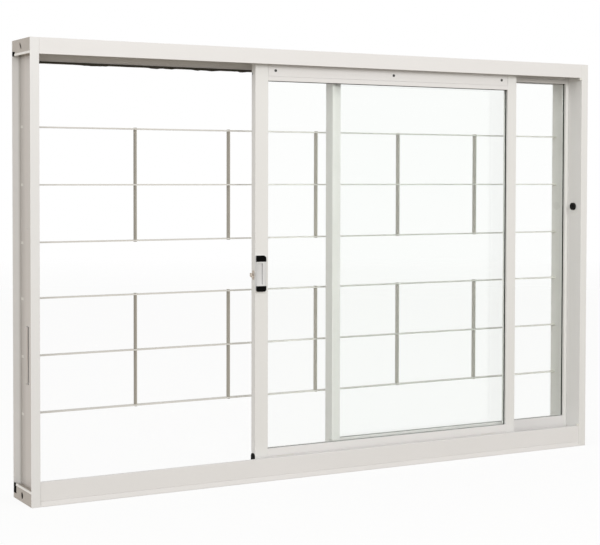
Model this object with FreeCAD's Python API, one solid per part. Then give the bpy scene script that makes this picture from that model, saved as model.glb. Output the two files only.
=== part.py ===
import FreeCAD, Part
import os

# Two-leaf sliding window with a bar grille on its outer side, in millimetres.
# X runs along the window, Y from the room side to the outside, Z up.
# The origin is the middle of the window's footprint, on the surface it stands on.

Vec = FreeCAD.Vector

# ---------------------------------------------------------------- overall size
window_width = 1500.0
window_height = 1000.0
frame_depth = 125.0

# ------------------------------------------------------------ outer frame bars
frame_wall = 1.5            # wall of the extruded frame bars
jamb_face = 20.0            # front face of a jamb, across
head_lip_height = 35.0      # front lip of the head
head_rear_height = 46.5     # rear wall of the head
guard_height = 53.0         # hollow guard along the front of the sill
guard_depth = 9.5
guard_recess = 1.5          # guard face behind the toe
toe_height = 11.0
floor_height = 13.5         # top of the sill floor
sill_rear_height = 24.0
leg_foot = 7.5              # foot under each leg of the sill
middle_leg = 44.0           # legs under the sill floor, from the front face
rear_leg = 84.0
edge_round = 0.6            # rounded long edges of the bars
joint_bevel = 0.8           # bevelled end where one bar butts against another
joint_slit = 0.7            # open joint at the ends of a top rail's recessed face
toe_foot = 2.0              # upright foot of the toe, which leans back above it
toe_groove = 1.0            # groove along the top of the toe

# -------------------------------------------------------------------- tracks
front_track = 30.0          # middle of the sliding leaf, from the front face
rear_track = 65.0           # middle of the fixed leaf
rib_width = 2.4
front_track_height = 38.0   # top of the track that the wheels run on
rear_track_height = 34.0
head_rib_length = 24.0      # guide ribs, from the top of the head

# --------------------------------------------------------------- glazed leaves
leaf_depth = 20.0
leaf_wall = 1.5
latch_stile_face = 33.0
interlock_stile_face = 26.6
fixed_meeting_face = 29.5
fixed_outer_face = 24.8
groove_depth = 11.0         # glass groove in stiles and rails
gasket_wall = 1.5           # rubber on each side of the glass
sliding_gasket_lip = 1.0    # lip of the gasket under the top rail
fixed_gasket_lip = 0.5
glass_thickness = 4.0
glass_bite = 8.0            # glass held inside the groove
sliding_sight_bottom = 72.0     # foot of the sliding leaf's glass opening
sliding_sight_drop = 72.0       # and how far it ends below the top of the head
sliding_foot = 30.0             # underside of the sliding leaf
fixed_sight_bottom = 73.5
fixed_sight_drop = 48.0
fixed_foot = 26.0
leaf_top_gap = 14.0         # top of each leaf below the top of the head
rail_step = 10.0            # bead under the recessed face of a top rail
rail_recess = 1.0
bead_groove = 1.2           # height of the groove above the bead
foot_groove = 2.5           # groove along the bottom rail, beside the top of the guard
foot_groove_depth = 1.5
foot_groove_drop = 1.0      # its lower edge below the top of the guard
rib_clearance = 1.0         # leaf ends beside the ribs

fixed_leaf_offset = 6.0     # left edge of the fixed leaf from the middle
interlock_overlap = 10.0    # the two meeting stiles overlap this much when shut
closing_gap = 2.5           # sliding leaf to left jamb when shut
rest_gap = 190.5            # sliding leaf to the bumper in the rest position

# ---------------------------------------------------- pocket in the right jamb
pocket_clearance = 1.0      # each side of the fixed leaf
pocket_back = 4.5           # pocket bottom, from the outer plane of the jamb

# ------------------------------------------------------------------ interlocks
hook_wall = 1.5
fixed_hook_reach = 13.0     # forward from the fixed leaf
fixed_hook_lip = 7.5
sliding_hook_reach = 11.0   # back from the sliding leaf
sliding_hook_lip = 6.5

# ---------------------------------------------------------------------- grille
bar_depth = 12.7            # flat bar, half inch by an eighth
bar_thickness = 3.2
grille_line = 114.5         # middle of the bars from the front face
row_pitch = 126.6
middle_gap = 122.8          # between the two groups of bars
grille_drop = 1.2           # middle of the grille below the middle of the window
upright_pitch = 234.0
uprights_per_row = 5
bar_fit = 0.1               # clearance of slots, mortises and bushes
bar_end_reach = 8.0         # right bar end beyond the inner face of the jamb
bar_end_flush = 0.2         # left bar end short of the outer face of the web
tenon_width = 8.0
tenon_head = 1.3            # riveted-over head
tenon_head_rim = 0.7
bush_wall = 1.1
bush_flange = 1.2
bush_rim = 1.0

# ---------------------------------------------------------------------- wheels
wheel_radius = 9.0          # rolling radius on the track
wheel_flange = 2.0
wheel_width = 8.0
wheel_gap = 0.3             # groove root above the track
groove_side = 0.5           # groove beside the rib
groove_flare = 1.0
axle_radius = 2.5
axle_running = 0.05
wheel_inset = 80.0          # wheel centre from each end of the leaf
housing_length = 44.0
housing_slot = 25.0
cheek_gap = 0.3

# ----------------------------------------------------------------------- latch
latch_width = 26.4
latch_height = 84.0
latch_drop = 18.1           # middle of the latch below the middle of the window
latch_inset = -0.8          # latch edge inside the stile edge
latch_depth = 6.8
latch_plate = 1.6
cap_height_top = 14.6
cap_height_bottom = 13.1
cap_wall = 1.3
cap_corner = 8.0
slider_gap = 0.3
slider_thickness = 3.0
slider_tuck_low = 6.0       # slider end hidden under the lower cap
slider_tuck_high = 2.0      # and under the upper cap, before it slides up
latch_screw_inset = 3.6
latch_screw_head = 2.5
latch_pocket_gap = 0.5
boss_pin_radius = 1.5
grip_share = 0.62           # share of the slider's width that is scooped out
grip_recess = 0.8           # grip face behind the faces of the caps
grip_floor = 1.0
hook_rise = 6.0             # hook plate above the slider boss
grip_margin = 4.6           # flat strip above and below the grip
grip_wall = 1.4
latch_travel = 4.2
hook_plate = 7.0            # thickness of the hook
hook_reach = 7.5            # hook beyond the stile edge
hook_height = 10.0
hook_neck = 3.5
hook_lip = 2.5
hook_drop = 3.9             # middle of the hook below the middle of the latch
hook_root = 12.0            # hook plate inside the stile
hook_chamfer = 2.5
hook_slot_gap = 0.8
collar_gap = 0.3            # collar on the hook that hides the stile's slot
collar_thickness = 0.7
collar_rim = 1.5
collar_corner = 4.0
boss_radius = 2.5
strike_thickness = 1.2
strike_width = 18.0
strike_height = 50.0
strike_slot_gap = 1.2

# ---------------------------------------------------------------- small pieces
bumper_radius = 9.5
bumper_thickness = 6.0
bumper_rise = 129.5         # bumper above the middle of the window
bumper_stem = 3.0
guide_height = 33.0         # sill guide on the latch stile
guide_thickness = 1.5
guide_width = 19.0
plate_thickness = 1.5       # corner plates in the jamb channels
plate_recess = 1.0
bottom_plate_height = 28.5
top_plate_height = 29.0
plate_lip = 5.0
plate_notch = 16.0
plate_notch_rise = 17.0
screw_radius = 1.75
screw_head_radius = 3.2
screw_head_height = 1.4
screw_recess = 0.8
screw_fit = 0.1
port_radius = 3.6           # screw ports in rails, head and sill
port_seat = 0.3             # how far a port runs into its wall
port_front_line = 22.0      # ports of head and sill, from the front face
port_rear_line = 104.0
strike_screw_spacing = 36.0
plate_hole_radius = 7.5
plate_middle = 68.0         # hole and slit of the corner plates, from the front face
plate_slit_width = 6.5
plate_slit_length = 17.0
plate_slit_tilt = 40.0
plate_gap = 0.3             # shelf of a left plate short of the web
frame_screw_length = 22.0
leaf_screw_reach = 20.0     # thread in the rail
small_screw_length = 10.0
guide_screw_length = 8.0
guide_screw_drop = 48.0     # top guide screws below the top of the head
top_guide_length = 20.0
top_guide_inset = 19.5      # first guide from the end of the top rail
seal_thickness = 5.5
seal_height = 4.8
strap_length = 127.0        # masonry strap in an opening of each jamb's web
strap_width = 14.0
strap_slot = 7.0            # slot beside the strap's free edge
strap_bottom = 253.0
strap_hinge = 92.0          # rear edge of the left strap from the front face
strap_lift = 1.0            # free edge bent out of the wall
strap_end_gap = 2.0
strap_cup = 6.0             # mortar cup behind the left strap, beyond the inner face
mark_radius = 2.0           # drill mark on the left web
mark_depth = 1.1
mark_line = 75.0
mark_height = 593.0
strip_height = 8.0          # sealing strip along the head's rear wall
strip_drop = 3.0            # strip below the edge of the wall
strip_end_gap = 2.0         # strip short of the fixed leaf
strip_thickness = 2.0
corner_block_width = 6.0    # nylon blocks in the right corners of the opening
corner_block_depth = 7.0
corner_block_height = 5.0
corner_block_round = 1.5
block_length = 30.0         # setting blocks under the fixed leaf
block_inset = 90.0
drain_length = 30.0         # drain slots in the rear upstand of the sill
drain_height = 5.0
drain_pitch = 500.0
strike_corner = 3.0
housing_lift = 3.0          # housings above the foot of the rail
block_lift = 2.0            # setting blocks above the foot of the rail
seal_lift = 1.0             # weather strips above the foot of the rail
guide_gap = 0.3             # top guides beside the head rib
port_gap = 0.2              # cut-outs round the screw ports
stem_share = 0.45           # bumper stem, as a share of the jamb face
boss_share = 0.6            # latch boss along the root of the hook
head_round = 0.45           # rounding and recess of a pan head, as shares
dome_round = 0.4            # bumper edge, as a share of its thickness
bush_round = 0.8            # bush flange corners, as a share of its half height
arch_round = 0.42           # arched top of the sill guide, as a share of its width
cap_round = 0.7             # front edges of the latch caps, as a share of cap_wall
flush_head = 0.8            # thin screw head, as a share of the pan head
over = 1.0                  # how far a cutter runs past what it cuts
near = 0.01                 # tolerance when an edge is picked by its place

# ------------------------------------------------------------- derived places
left = -window_width / 2
right = window_width / 2
front = -frame_depth / 2
rear = frame_depth / 2
inner_left = left + jamb_face
inner_right = right - jamb_face
front_line = front + front_track
rear_line = front + rear_track
bar_line = front + grille_line

sliding_front = front_line - leaf_depth / 2
fixed_front = rear_line - leaf_depth / 2
fixed_rear = rear_line + leaf_depth / 2
leaf_top = window_height - leaf_top_gap
rib_bottom = window_height - head_rib_length

sliding_sight_top = window_height - sliding_sight_drop
fixed_sight_top = window_height - fixed_sight_drop
guide_screw_height = window_height - guide_screw_drop

fixed_left = fixed_leaf_offset
fixed_right = right - pocket_back
closed_left = inner_left + closing_gap
leaf_width = fixed_left + interlock_overlap - closed_left
leaf_right = inner_right - bumper_thickness - rest_gap
leaf_left = leaf_right - leaf_width

pocket_front = fixed_front - pocket_clearance
pocket_rear = fixed_rear + pocket_clearance

middle_height = window_height / 2
grille_middle = middle_height - grille_drop
latch_middle = middle_height - latch_drop
hook_middle = latch_middle - hook_drop
bumper_height = middle_height + bumper_rise
bars_upper = [grille_middle + middle_gap / 2 + n * row_pitch for n in (2, 1, 0)]
bars_lower = [grille_middle - middle_gap / 2 - n * row_pitch for n in (0, 1, 2)]
bar_heights = bars_upper + bars_lower
upright_places = [
    (n - (uprights_per_row - 1) / 2) * upright_pitch for n in range(uprights_per_row)
]


# ------------------------------------------------------------------ shape tools
def block(x0, x1, y0, y1, z0, z1):
    """A box between two corners."""
    return Part.makeBox(x1 - x0, y1 - y0, z1 - z0, Vec(x0, y0, z0))


def rod(radius, start, axis, length):
    """A round bar from a start point along an axis."""
    return Part.makeCylinder(radius, length, Vec(*start), Vec(*axis))


def prism(points, direction):
    """A closed outline pushed along a direction."""
    outline = Part.makePolygon([Vec(*p) for p in points] + [Vec(*points[0])])
    return Part.Face(outline).extrude(Vec(*direction))


def joined(shapes):
    """Touching or overlapping shapes as one clean solid."""
    body = shapes[0].multiFuse(shapes[1:]) if len(shapes) > 1 else shapes[0]
    return body.removeSplitter()


def group(solids):
    """Separate solids that share one node."""
    return Part.makeCompound([s for shape in solids for s in shape.Solids])


def mirrored(shape):
    """The same shape on the other side of the window."""
    return shape.mirror(Vec(0, 0, 0), Vec(1, 0, 0))


def shifted(shape, x=0.0, y=0.0, z=0.0):
    """A copy of a shape moved by an offset."""
    copy = shape.copy()
    copy.translate(Vec(x, y, z))
    return copy


def rounded(shape, direction, radius, keep):
    """Rounds the straight edges along a direction whose middle passes keep."""
    edges = []
    for edge in shape.Edges:
        if edge.Curve.TypeId != "Part::GeomLine":
            continue
        run = edge.Vertexes[-1].Point - edge.Vertexes[0].Point
        if run.Length < 1e-6 or abs(run.normalize().dot(Vec(*direction))) < 0.999:
            continue
        if keep(edge.CenterOfMass):
            edges.append(edge)
    return shape.makeFillet(radius, edges)


def slot_box(x, z, width, height, y0, y1):
    """A slot with round ends that passes through along Y, long side upright."""
    radius = width / 2
    reach = height / 2 - radius
    ends = [rod(radius, (x, y0, z + s * reach), (0, 1, 0), y1 - y0) for s in (-1, 1)]
    return joined([block(x - radius, x + radius, y0, y1, z - reach, z + reach)] + ends)


def screw(point, direction, length, head_radius=screw_head_radius):
    """A pan-head screw: point is under the head, direction runs down the shank."""
    way = Vec(*direction)
    tip = Vec(*point)
    back = tip - way * screw_head_height
    head = Part.makeCylinder(head_radius, screw_head_height, back, way)
    head = head.makeFillet(
        screw_head_height * head_round,
        [e for e in head.Edges if (e.CenterOfMass - back).Length < 1e-6],
    )
    recess = Part.makeCylinder(head_radius * head_round, screw_recess, back, way)
    shank = Part.makeCylinder(screw_radius, length, tip, way)
    return head.cut(recess).fuse(shank).removeSplitter()


# ------------------------------------------------------------------ outer frame
bush_half_depth = bar_depth / 2 + bar_fit + bush_wall
bush_half_height = bar_thickness / 2 + bar_fit + bush_wall
web_outer = inner_left - frame_wall
pocket_back_plane = left + pocket_back
hook_swing_top = hook_middle + hook_height / 2 + strike_slot_gap
hook_swing_bottom = hook_middle - hook_height / 2 - strike_slot_gap
port_front = front + port_front_line
port_rear = front + port_rear_line
head_port_height = window_height - frame_wall - port_radius + port_seat
sill_port_height = floor_height - frame_wall - port_radius + port_seat
frame_screws = [
    (y, z) for z in (sill_port_height, head_port_height) for y in (port_front, port_rear)
]
plate_hole_height = bottom_plate_height / 2
strap_rear_left = front + strap_hinge
strap_rear_right = pocket_rear


def strap_opening(inner, rear_edge, depth):
    """The opening of a masonry strap in a wall whose inner face is given."""
    return block(inner - frame_wall - over, inner + depth,
                 rear_edge - strap_width - strap_slot, rear_edge,
                 strap_bottom, strap_bottom + strap_length)


def jamb_bar(walls):
    """Left jamb: web, two flanges and any other walls, with holes for bars and screws."""
    w = frame_wall
    top = window_height
    flanges = [block(left, inner_left, front, front + w, 0, top),
               block(left, inner_left, rear - w, rear, 0, top)]
    bar = joined(walls + flanges)
    bar = rounded(bar, (0, 0, 1), edge_round,
                  lambda c: (c.x > inner_left - near or c.x < left + near)
                  and (c.y < front + near or c.y > rear - near))
    for z in bar_heights:
        bar = bar.cut(
            block(web_outer - over, inner_left + over, bar_line - bush_half_depth,
                  bar_line + bush_half_depth, z - bush_half_height, z + bush_half_height)
        )
    for y, z in frame_screws:
        hole = rod(screw_radius + screw_fit, (web_outer - over, y, z), (1, 0, 0), w + 2 * over)
        bar = bar.cut(hole)
    return bar


def left_jamb():
    """Left jamb with its mortar cup, the hook's hole and the strike's screw holes."""
    w = frame_wall
    strap_front = strap_rear_left - strap_width - strap_slot
    cup = block(inner_left, inner_left + strap_cup, strap_front - w, strap_rear_left + w,
                strap_bottom - w, strap_bottom + strap_length + w)
    web = block(web_outer, inner_left, front, rear, 0, window_height)
    bar = jamb_bar([web, cup])
    bar = bar.cut(strap_opening(inner_left, strap_rear_left, strap_cup - w))
    bar = bar.cut(rod(mark_radius, (web_outer - over, front + mark_line, mark_height),
                      (1, 0, 0), over + mark_depth))
    half = hook_plate / 2 + strike_slot_gap
    bar = bar.cut(block(web_outer - over, inner_left + over, front_line - half, front_line + half,
                        hook_swing_bottom, hook_swing_top))
    for z in strike_screw_heights:
        bar = bar.cut(rod(screw_radius + screw_fit, (web_outer - over, front_line, z),
                          (1, 0, 0), frame_wall + 2 * over))
    return bar


def right_jamb():
    """Right jamb with the pocket of the fixed leaf and the hole for the bumper stem."""
    w = frame_wall
    top = window_height
    web = block(web_outer, inner_left, front, rear, 0, top)
    web = web.cut(block(web_outer, inner_left, pocket_front, pocket_rear, 0, top))
    pocket = [
        block(pocket_back_plane - w, inner_left, pocket_front - w, pocket_front, 0, top),
        block(pocket_back_plane - w, inner_left, pocket_rear, pocket_rear + w, 0, top),
        block(pocket_back_plane - w, pocket_back_plane, pocket_front, pocket_rear, 0, top),
    ]
    bar = jamb_bar([web] + pocket)
    bar = mirrored(bar.cut(strap_opening(pocket_back_plane, strap_rear_right, 0.0)))
    return bar.cut(rod(bumper_stem, (inner_right - over, front_line, bumper_height),
                       (1, 0, 0), frame_wall + 2 * over))


def with_bevelled_ends(bar, x0, x1, face):
    """Bevels the upright front edges of a bar at both ends, where it meets its neighbours."""
    for x, way in ((x0, 1), (x1, -1)):
        corner = prism([(x, face - over, 0), (x + way * (joint_bevel + over), face - over, 0),
                        (x, face + joint_bevel, 0)], (0, 0, window_height))
        bar = bar.cut(corner)
    return bar


def rib(middle, z0, z1, crown_up):
    """A guide rib along the frame with a round crown."""
    half = rib_width / 2
    x0, x1 = inner_left, inner_right
    if crown_up:
        z1 -= half
        crown = rod(half, (x0, middle, z1), (1, 0, 0), x1 - x0)
    else:
        z0 += half
        crown = rod(half, (x0, middle, z0), (1, 0, 0), x1 - x0)
    return [block(x0, x1, middle - half, middle + half, z0, z1), crown]


def head_bar():
    """Head: front lip, top web, rear wall and the two downward guide ribs."""
    w = frame_wall
    x0, x1 = inner_left, inner_right
    top = window_height
    walls = [
        block(x0, x1, front, rear, top - w, top),
        block(x0, x1, front, front + w, top - head_lip_height, top),
        block(x0, x1, rear - w, rear, top - head_rear_height, top),
    ]
    ports = [rod(port_radius, (x0, y, head_port_height), (1, 0, 0), x1 - x0)
             for y in (port_front, port_rear)]
    ribs = rib(front_line, rib_bottom, top - w / 2, False)
    ribs += rib(rear_line, rib_bottom, top - w / 2, False)
    bar = joined(walls + ports + ribs)
    for y in (port_front, port_rear):
        bar = bar.cut(rod(screw_radius + screw_fit, (x0, y, head_port_height),
                          (1, 0, 0), x1 - x0))
    bar = rounded(
        bar, (1, 0, 0), edge_round,
        lambda c: c.z > top - near or (c.y < front + near and c.z < top - over)
    )
    return with_bevelled_ends(bar, x0, x1, front)


def sill_bar():
    """Sill: hollow guard with a toe, raised floor on legs, tracks and a rear upstand."""
    w = frame_wall
    x0, x1 = inner_left, inner_right
    g0 = front + guard_recess
    g1 = g0 + guard_depth
    floor_under = floor_height - w
    toe = prism([(x0, front, 0), (x0, g0 + w, 0), (x0, g0 + w, toe_height),
                 (x0, g0, toe_height), (x0, front, toe_foot)], (x1 - x0, 0, 0))
    guard = block(x0, x1, g0, g1, 0, guard_height)
    walls = [toe, guard, block(x0, x1, g1 - w, rear, floor_under, floor_height),
             block(x0, x1, rear - w, rear, 0, sill_rear_height)]
    for leg in (middle_leg, rear_leg):
        y = front + leg
        walls.append(block(x0, x1, y, y + w, 0, floor_height))
        walls.append(block(x0, x1, y - leg_foot / 2, y + w + leg_foot / 2, 0, w))
    ports = [rod(port_radius, (x0, y, sill_port_height), (1, 0, 0), x1 - x0)
             for y in (port_front, port_rear)]
    ribs = rib(front_line, floor_under, front_track_height, True)
    ribs += rib(rear_line, floor_under, rear_track_height, True)
    bar = joined(walls + ports + ribs)
    bar = bar.cut(block(x0, x1, g0 + w, g1 - w, w, guard_height - w))
    bar = bar.cut(block(x0, x1, g0 - over, g0 + w / 2, toe_height, toe_height + toe_groove))
    for y in (port_front, port_rear):
        bar = bar.cut(rod(screw_radius + screw_fit, (x0, y, sill_port_height),
                          (1, 0, 0), x1 - x0))
    for x in (-drain_pitch, 0, drain_pitch):
        bar = bar.cut(block(x - drain_length / 2, x + drain_length / 2, rear - w - over, rear + over,
                            floor_height, floor_height + drain_height))
    bar = rounded(bar, (1, 0, 0), edge_round,
                  lambda c: c.z > guard_height - near or (c.y < front + near and c.z < near))
    return with_bevelled_ends(bar, x0, x1, g0)


def corner_plate(top):
    """Plate that closes the end of the left jamb channel, at its foot or its top."""
    x0 = left + plate_recess
    x1 = x0 + plate_thickness
    y0 = front + frame_wall
    y1 = rear - frame_wall
    if top:
        z0, z1 = window_height - top_plate_height, window_height
        lip = block(left, x1, y0, y1, z0 - plate_lip, z0)
        notch = block(left - over, x1 + over, y1 - plate_notch, y1,
                      z0 - plate_lip - over, z0 + plate_lip)
        slit = slot_box(front + plate_middle, z0 + top_plate_height / 2, plate_slit_width,
                        plate_slit_length, -over, x1 - left + over)
        slit.rotate(Vec(front + plate_middle, 0, z0 + top_plate_height / 2), Vec(0, 1, 0),
                    plate_slit_tilt)
        slit.rotate(Vec(0, 0, 0), Vec(0, 0, 1), 90)
        slit.translate(Vec(x1, 0, 0))
    else:
        z0, z1 = 0, bottom_plate_height
        lip = block(left, x1, y0, y1, z1, z1 + plate_lip)
        notch = block(left - over, x1 + over, y1 - plate_notch, y1,
                      z1 - plate_notch_rise, z1 + plate_lip + over)
        slit = rod(plate_hole_radius, (left, front + plate_middle, plate_hole_height),
                   (1, 0, 0), plate_recess + plate_thickness)
    lip = rounded(lip, (0, 1, 0), edge_round, lambda c: c.x < left + near)
    return joined([block(x0, x1, y0, y1, z0, z1), lip]).cut(notch).cut(slit)


def shelved_plate(top):
    """Corner plate of the left jamb, whose shelf closes the channel as far as the web."""
    z0 = window_height - top_plate_height if top else bottom_plate_height - plate_thickness
    shelf = block(left + plate_recess + plate_thickness, web_outer - plate_gap,
                  front + frame_wall, rear - frame_wall, z0, z0 + plate_thickness)
    return joined([corner_plate(top), shelf])


def masonry_strap(inner, rear_edge):
    """Strap in a wall of the left jamb, to be bent out into the mortar."""
    outer = inner - frame_wall
    free_edge = rear_edge - strap_width
    z = strap_bottom + strap_end_gap
    return prism([(outer, rear_edge, z), (inner, rear_edge, z),
                  (inner - strap_lift, free_edge, z), (outer - strap_lift, free_edge, z)],
                 (0, 0, strap_length - 2 * strap_end_gap))


def head_strip():
    """Sealing strip over the sliding bay, along the foot of the head's rear wall."""
    z0 = window_height - head_rear_height - strip_drop
    return block(inner_left, fixed_left - strip_end_gap, rear - frame_wall - strip_thickness,
                 rear - frame_wall, z0, z0 + strip_height)


def corner_block(z0):
    """Nylon block in a corner of the opening, against the right jamb."""
    block_x = inner_right - corner_block_width
    y0 = front + joint_bevel
    body = block(block_x, inner_right, y0, y0 + corner_block_depth,
                 z0, z0 + corner_block_height)
    return rounded(body, (0, 1, 0), corner_block_round, lambda c: c.x < block_x + near)


strike_screw_heights = [hook_middle + s * strike_screw_spacing / 2 for s in (-1, 1)]


def strike_plate():
    """Plate on the left jamb that the hook catches behind."""
    x0, x1 = inner_left, inner_left + strike_thickness
    plate = block(x0, x1, front_line - strike_width / 2, front_line + strike_width / 2,
                  hook_middle - strike_height / 2, hook_middle + strike_height / 2)
    plate = rounded(plate, (1, 0, 0), strike_corner, lambda c: True)
    half = hook_plate / 2 + strike_slot_gap
    plate = plate.cut(block(x0 - over, x1 + over, front_line - half, front_line + half,
                            hook_swing_bottom, hook_swing_top))
    for z in strike_screw_heights:
        plate = plate.cut(rod(screw_radius + screw_fit, (x0 - over, front_line, z), (1, 0, 0),
                              strike_thickness + 2 * over))
    return plate


def flush_screw(point, direction, length):
    """A thin-head screw that stays inside the closing gap."""
    way = Vec(*direction)
    tip = Vec(*point)
    head_height = (closing_gap - strike_thickness) / 2
    back = tip - way * head_height
    head = Part.makeCylinder(screw_head_radius * flush_head, head_height, back, way)
    shank = Part.makeCylinder(screw_radius, length, tip, way)
    return head.fuse(shank).removeSplitter()


def jamb_bumper():
    """Rubber bumper on the right jamb that stops the sliding leaf."""
    x = inner_right
    dome = rod(bumper_radius, (x - bumper_thickness, front_line, bumper_height),
               (1, 0, 0), bumper_thickness)
    dome = dome.makeFillet(
        bumper_thickness * dome_round,
        [e for e in dome.Edges if e.CenterOfMass.x < x - bumper_thickness + near
         and e.Curve.TypeId == "Part::GeomCircle"],
    )
    stem = rod(bumper_stem, (x, front_line, bumper_height), (1, 0, 0), jamb_face * stem_share)
    return joined([dome, stem])


# ----------------------------------------------------------------------- grille
bar_left = web_outer + bar_end_flush
bar_right = inner_right + bar_end_reach


def upright_tops(row):
    """The outer, middle and inner bar heights that a row of uprights joins."""
    return sorted(bars_upper) if row == "upper" else sorted(bars_lower)


def grille_bar(z, crossing):
    """One horizontal flat bar: half-lapped at a crossing, mortised at an end row."""
    half_t = bar_thickness / 2
    half_d = bar_depth / 2
    bar = block(bar_left, bar_right, bar_line - half_d, bar_line + half_d,
                z - half_t, z + half_t)
    for x in upright_places:
        side = half_t + bar_fit
        if crossing:
            cutter = block(x - side, x + side, bar_line, bar_line + half_d + over,
                           z - half_t - over, z + half_t + over)
        else:
            reach = tenon_width / 2 + bar_fit
            cutter = block(x - side, x + side, bar_line - reach, bar_line + reach,
                           z - half_t - over, z + half_t + over)
        bar = bar.cut(cutter)
    return bar


def grille_upright(x, heights):
    """One upright: a tenon with a riveted head at each end, a half lap in the middle."""
    low, middle, high = heights
    half_t = bar_thickness / 2
    half_d = bar_depth / 2
    parts = [
        block(x - half_t, x + half_t, bar_line - half_d, bar_line + half_d,
              low + half_t, high - half_t),
        block(x - half_t, x + half_t, bar_line - tenon_width / 2, bar_line + tenon_width / 2,
              low - half_t, high + half_t),
    ]
    rim = half_t + tenon_head_rim
    reach = tenon_width / 2 + tenon_head_rim
    for z0 in (low - half_t - tenon_head, high + half_t):
        parts.append(block(x - rim, x + rim, bar_line - reach, bar_line + reach,
                           z0, z0 + tenon_head))
    lap = block(x - half_t - over, x + half_t + over, bar_line - half_d - over, bar_line + bar_fit,
                middle - half_t - bar_fit, middle + half_t + bar_fit)
    return joined(parts).cut(lap)


def bar_bush(z):
    """Oblong bush that lines the hole where a bar enters the left jamb."""
    half_d, half_h = bush_half_depth, bush_half_height
    flange = block(inner_left, inner_left + bush_flange,
                   bar_line - half_d - bush_rim, bar_line + half_d + bush_rim,
                   z - half_h - bush_rim, z + half_h + bush_rim)
    flange = rounded(flange, (1, 0, 0), half_h * bush_round, lambda c: True)
    sleeve = block(web_outer, inner_left, bar_line - half_d, bar_line + half_d,
                   z - half_h, z + half_h)
    hole = block(web_outer - over, inner_left + bush_flange + over,
                 bar_line - bar_depth / 2 - bar_fit, bar_line + bar_depth / 2 + bar_fit,
                 z - bar_thickness / 2 - bar_fit, z + bar_thickness / 2 + bar_fit)
    return joined([flange, sleeve]).cut(hole)


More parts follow.
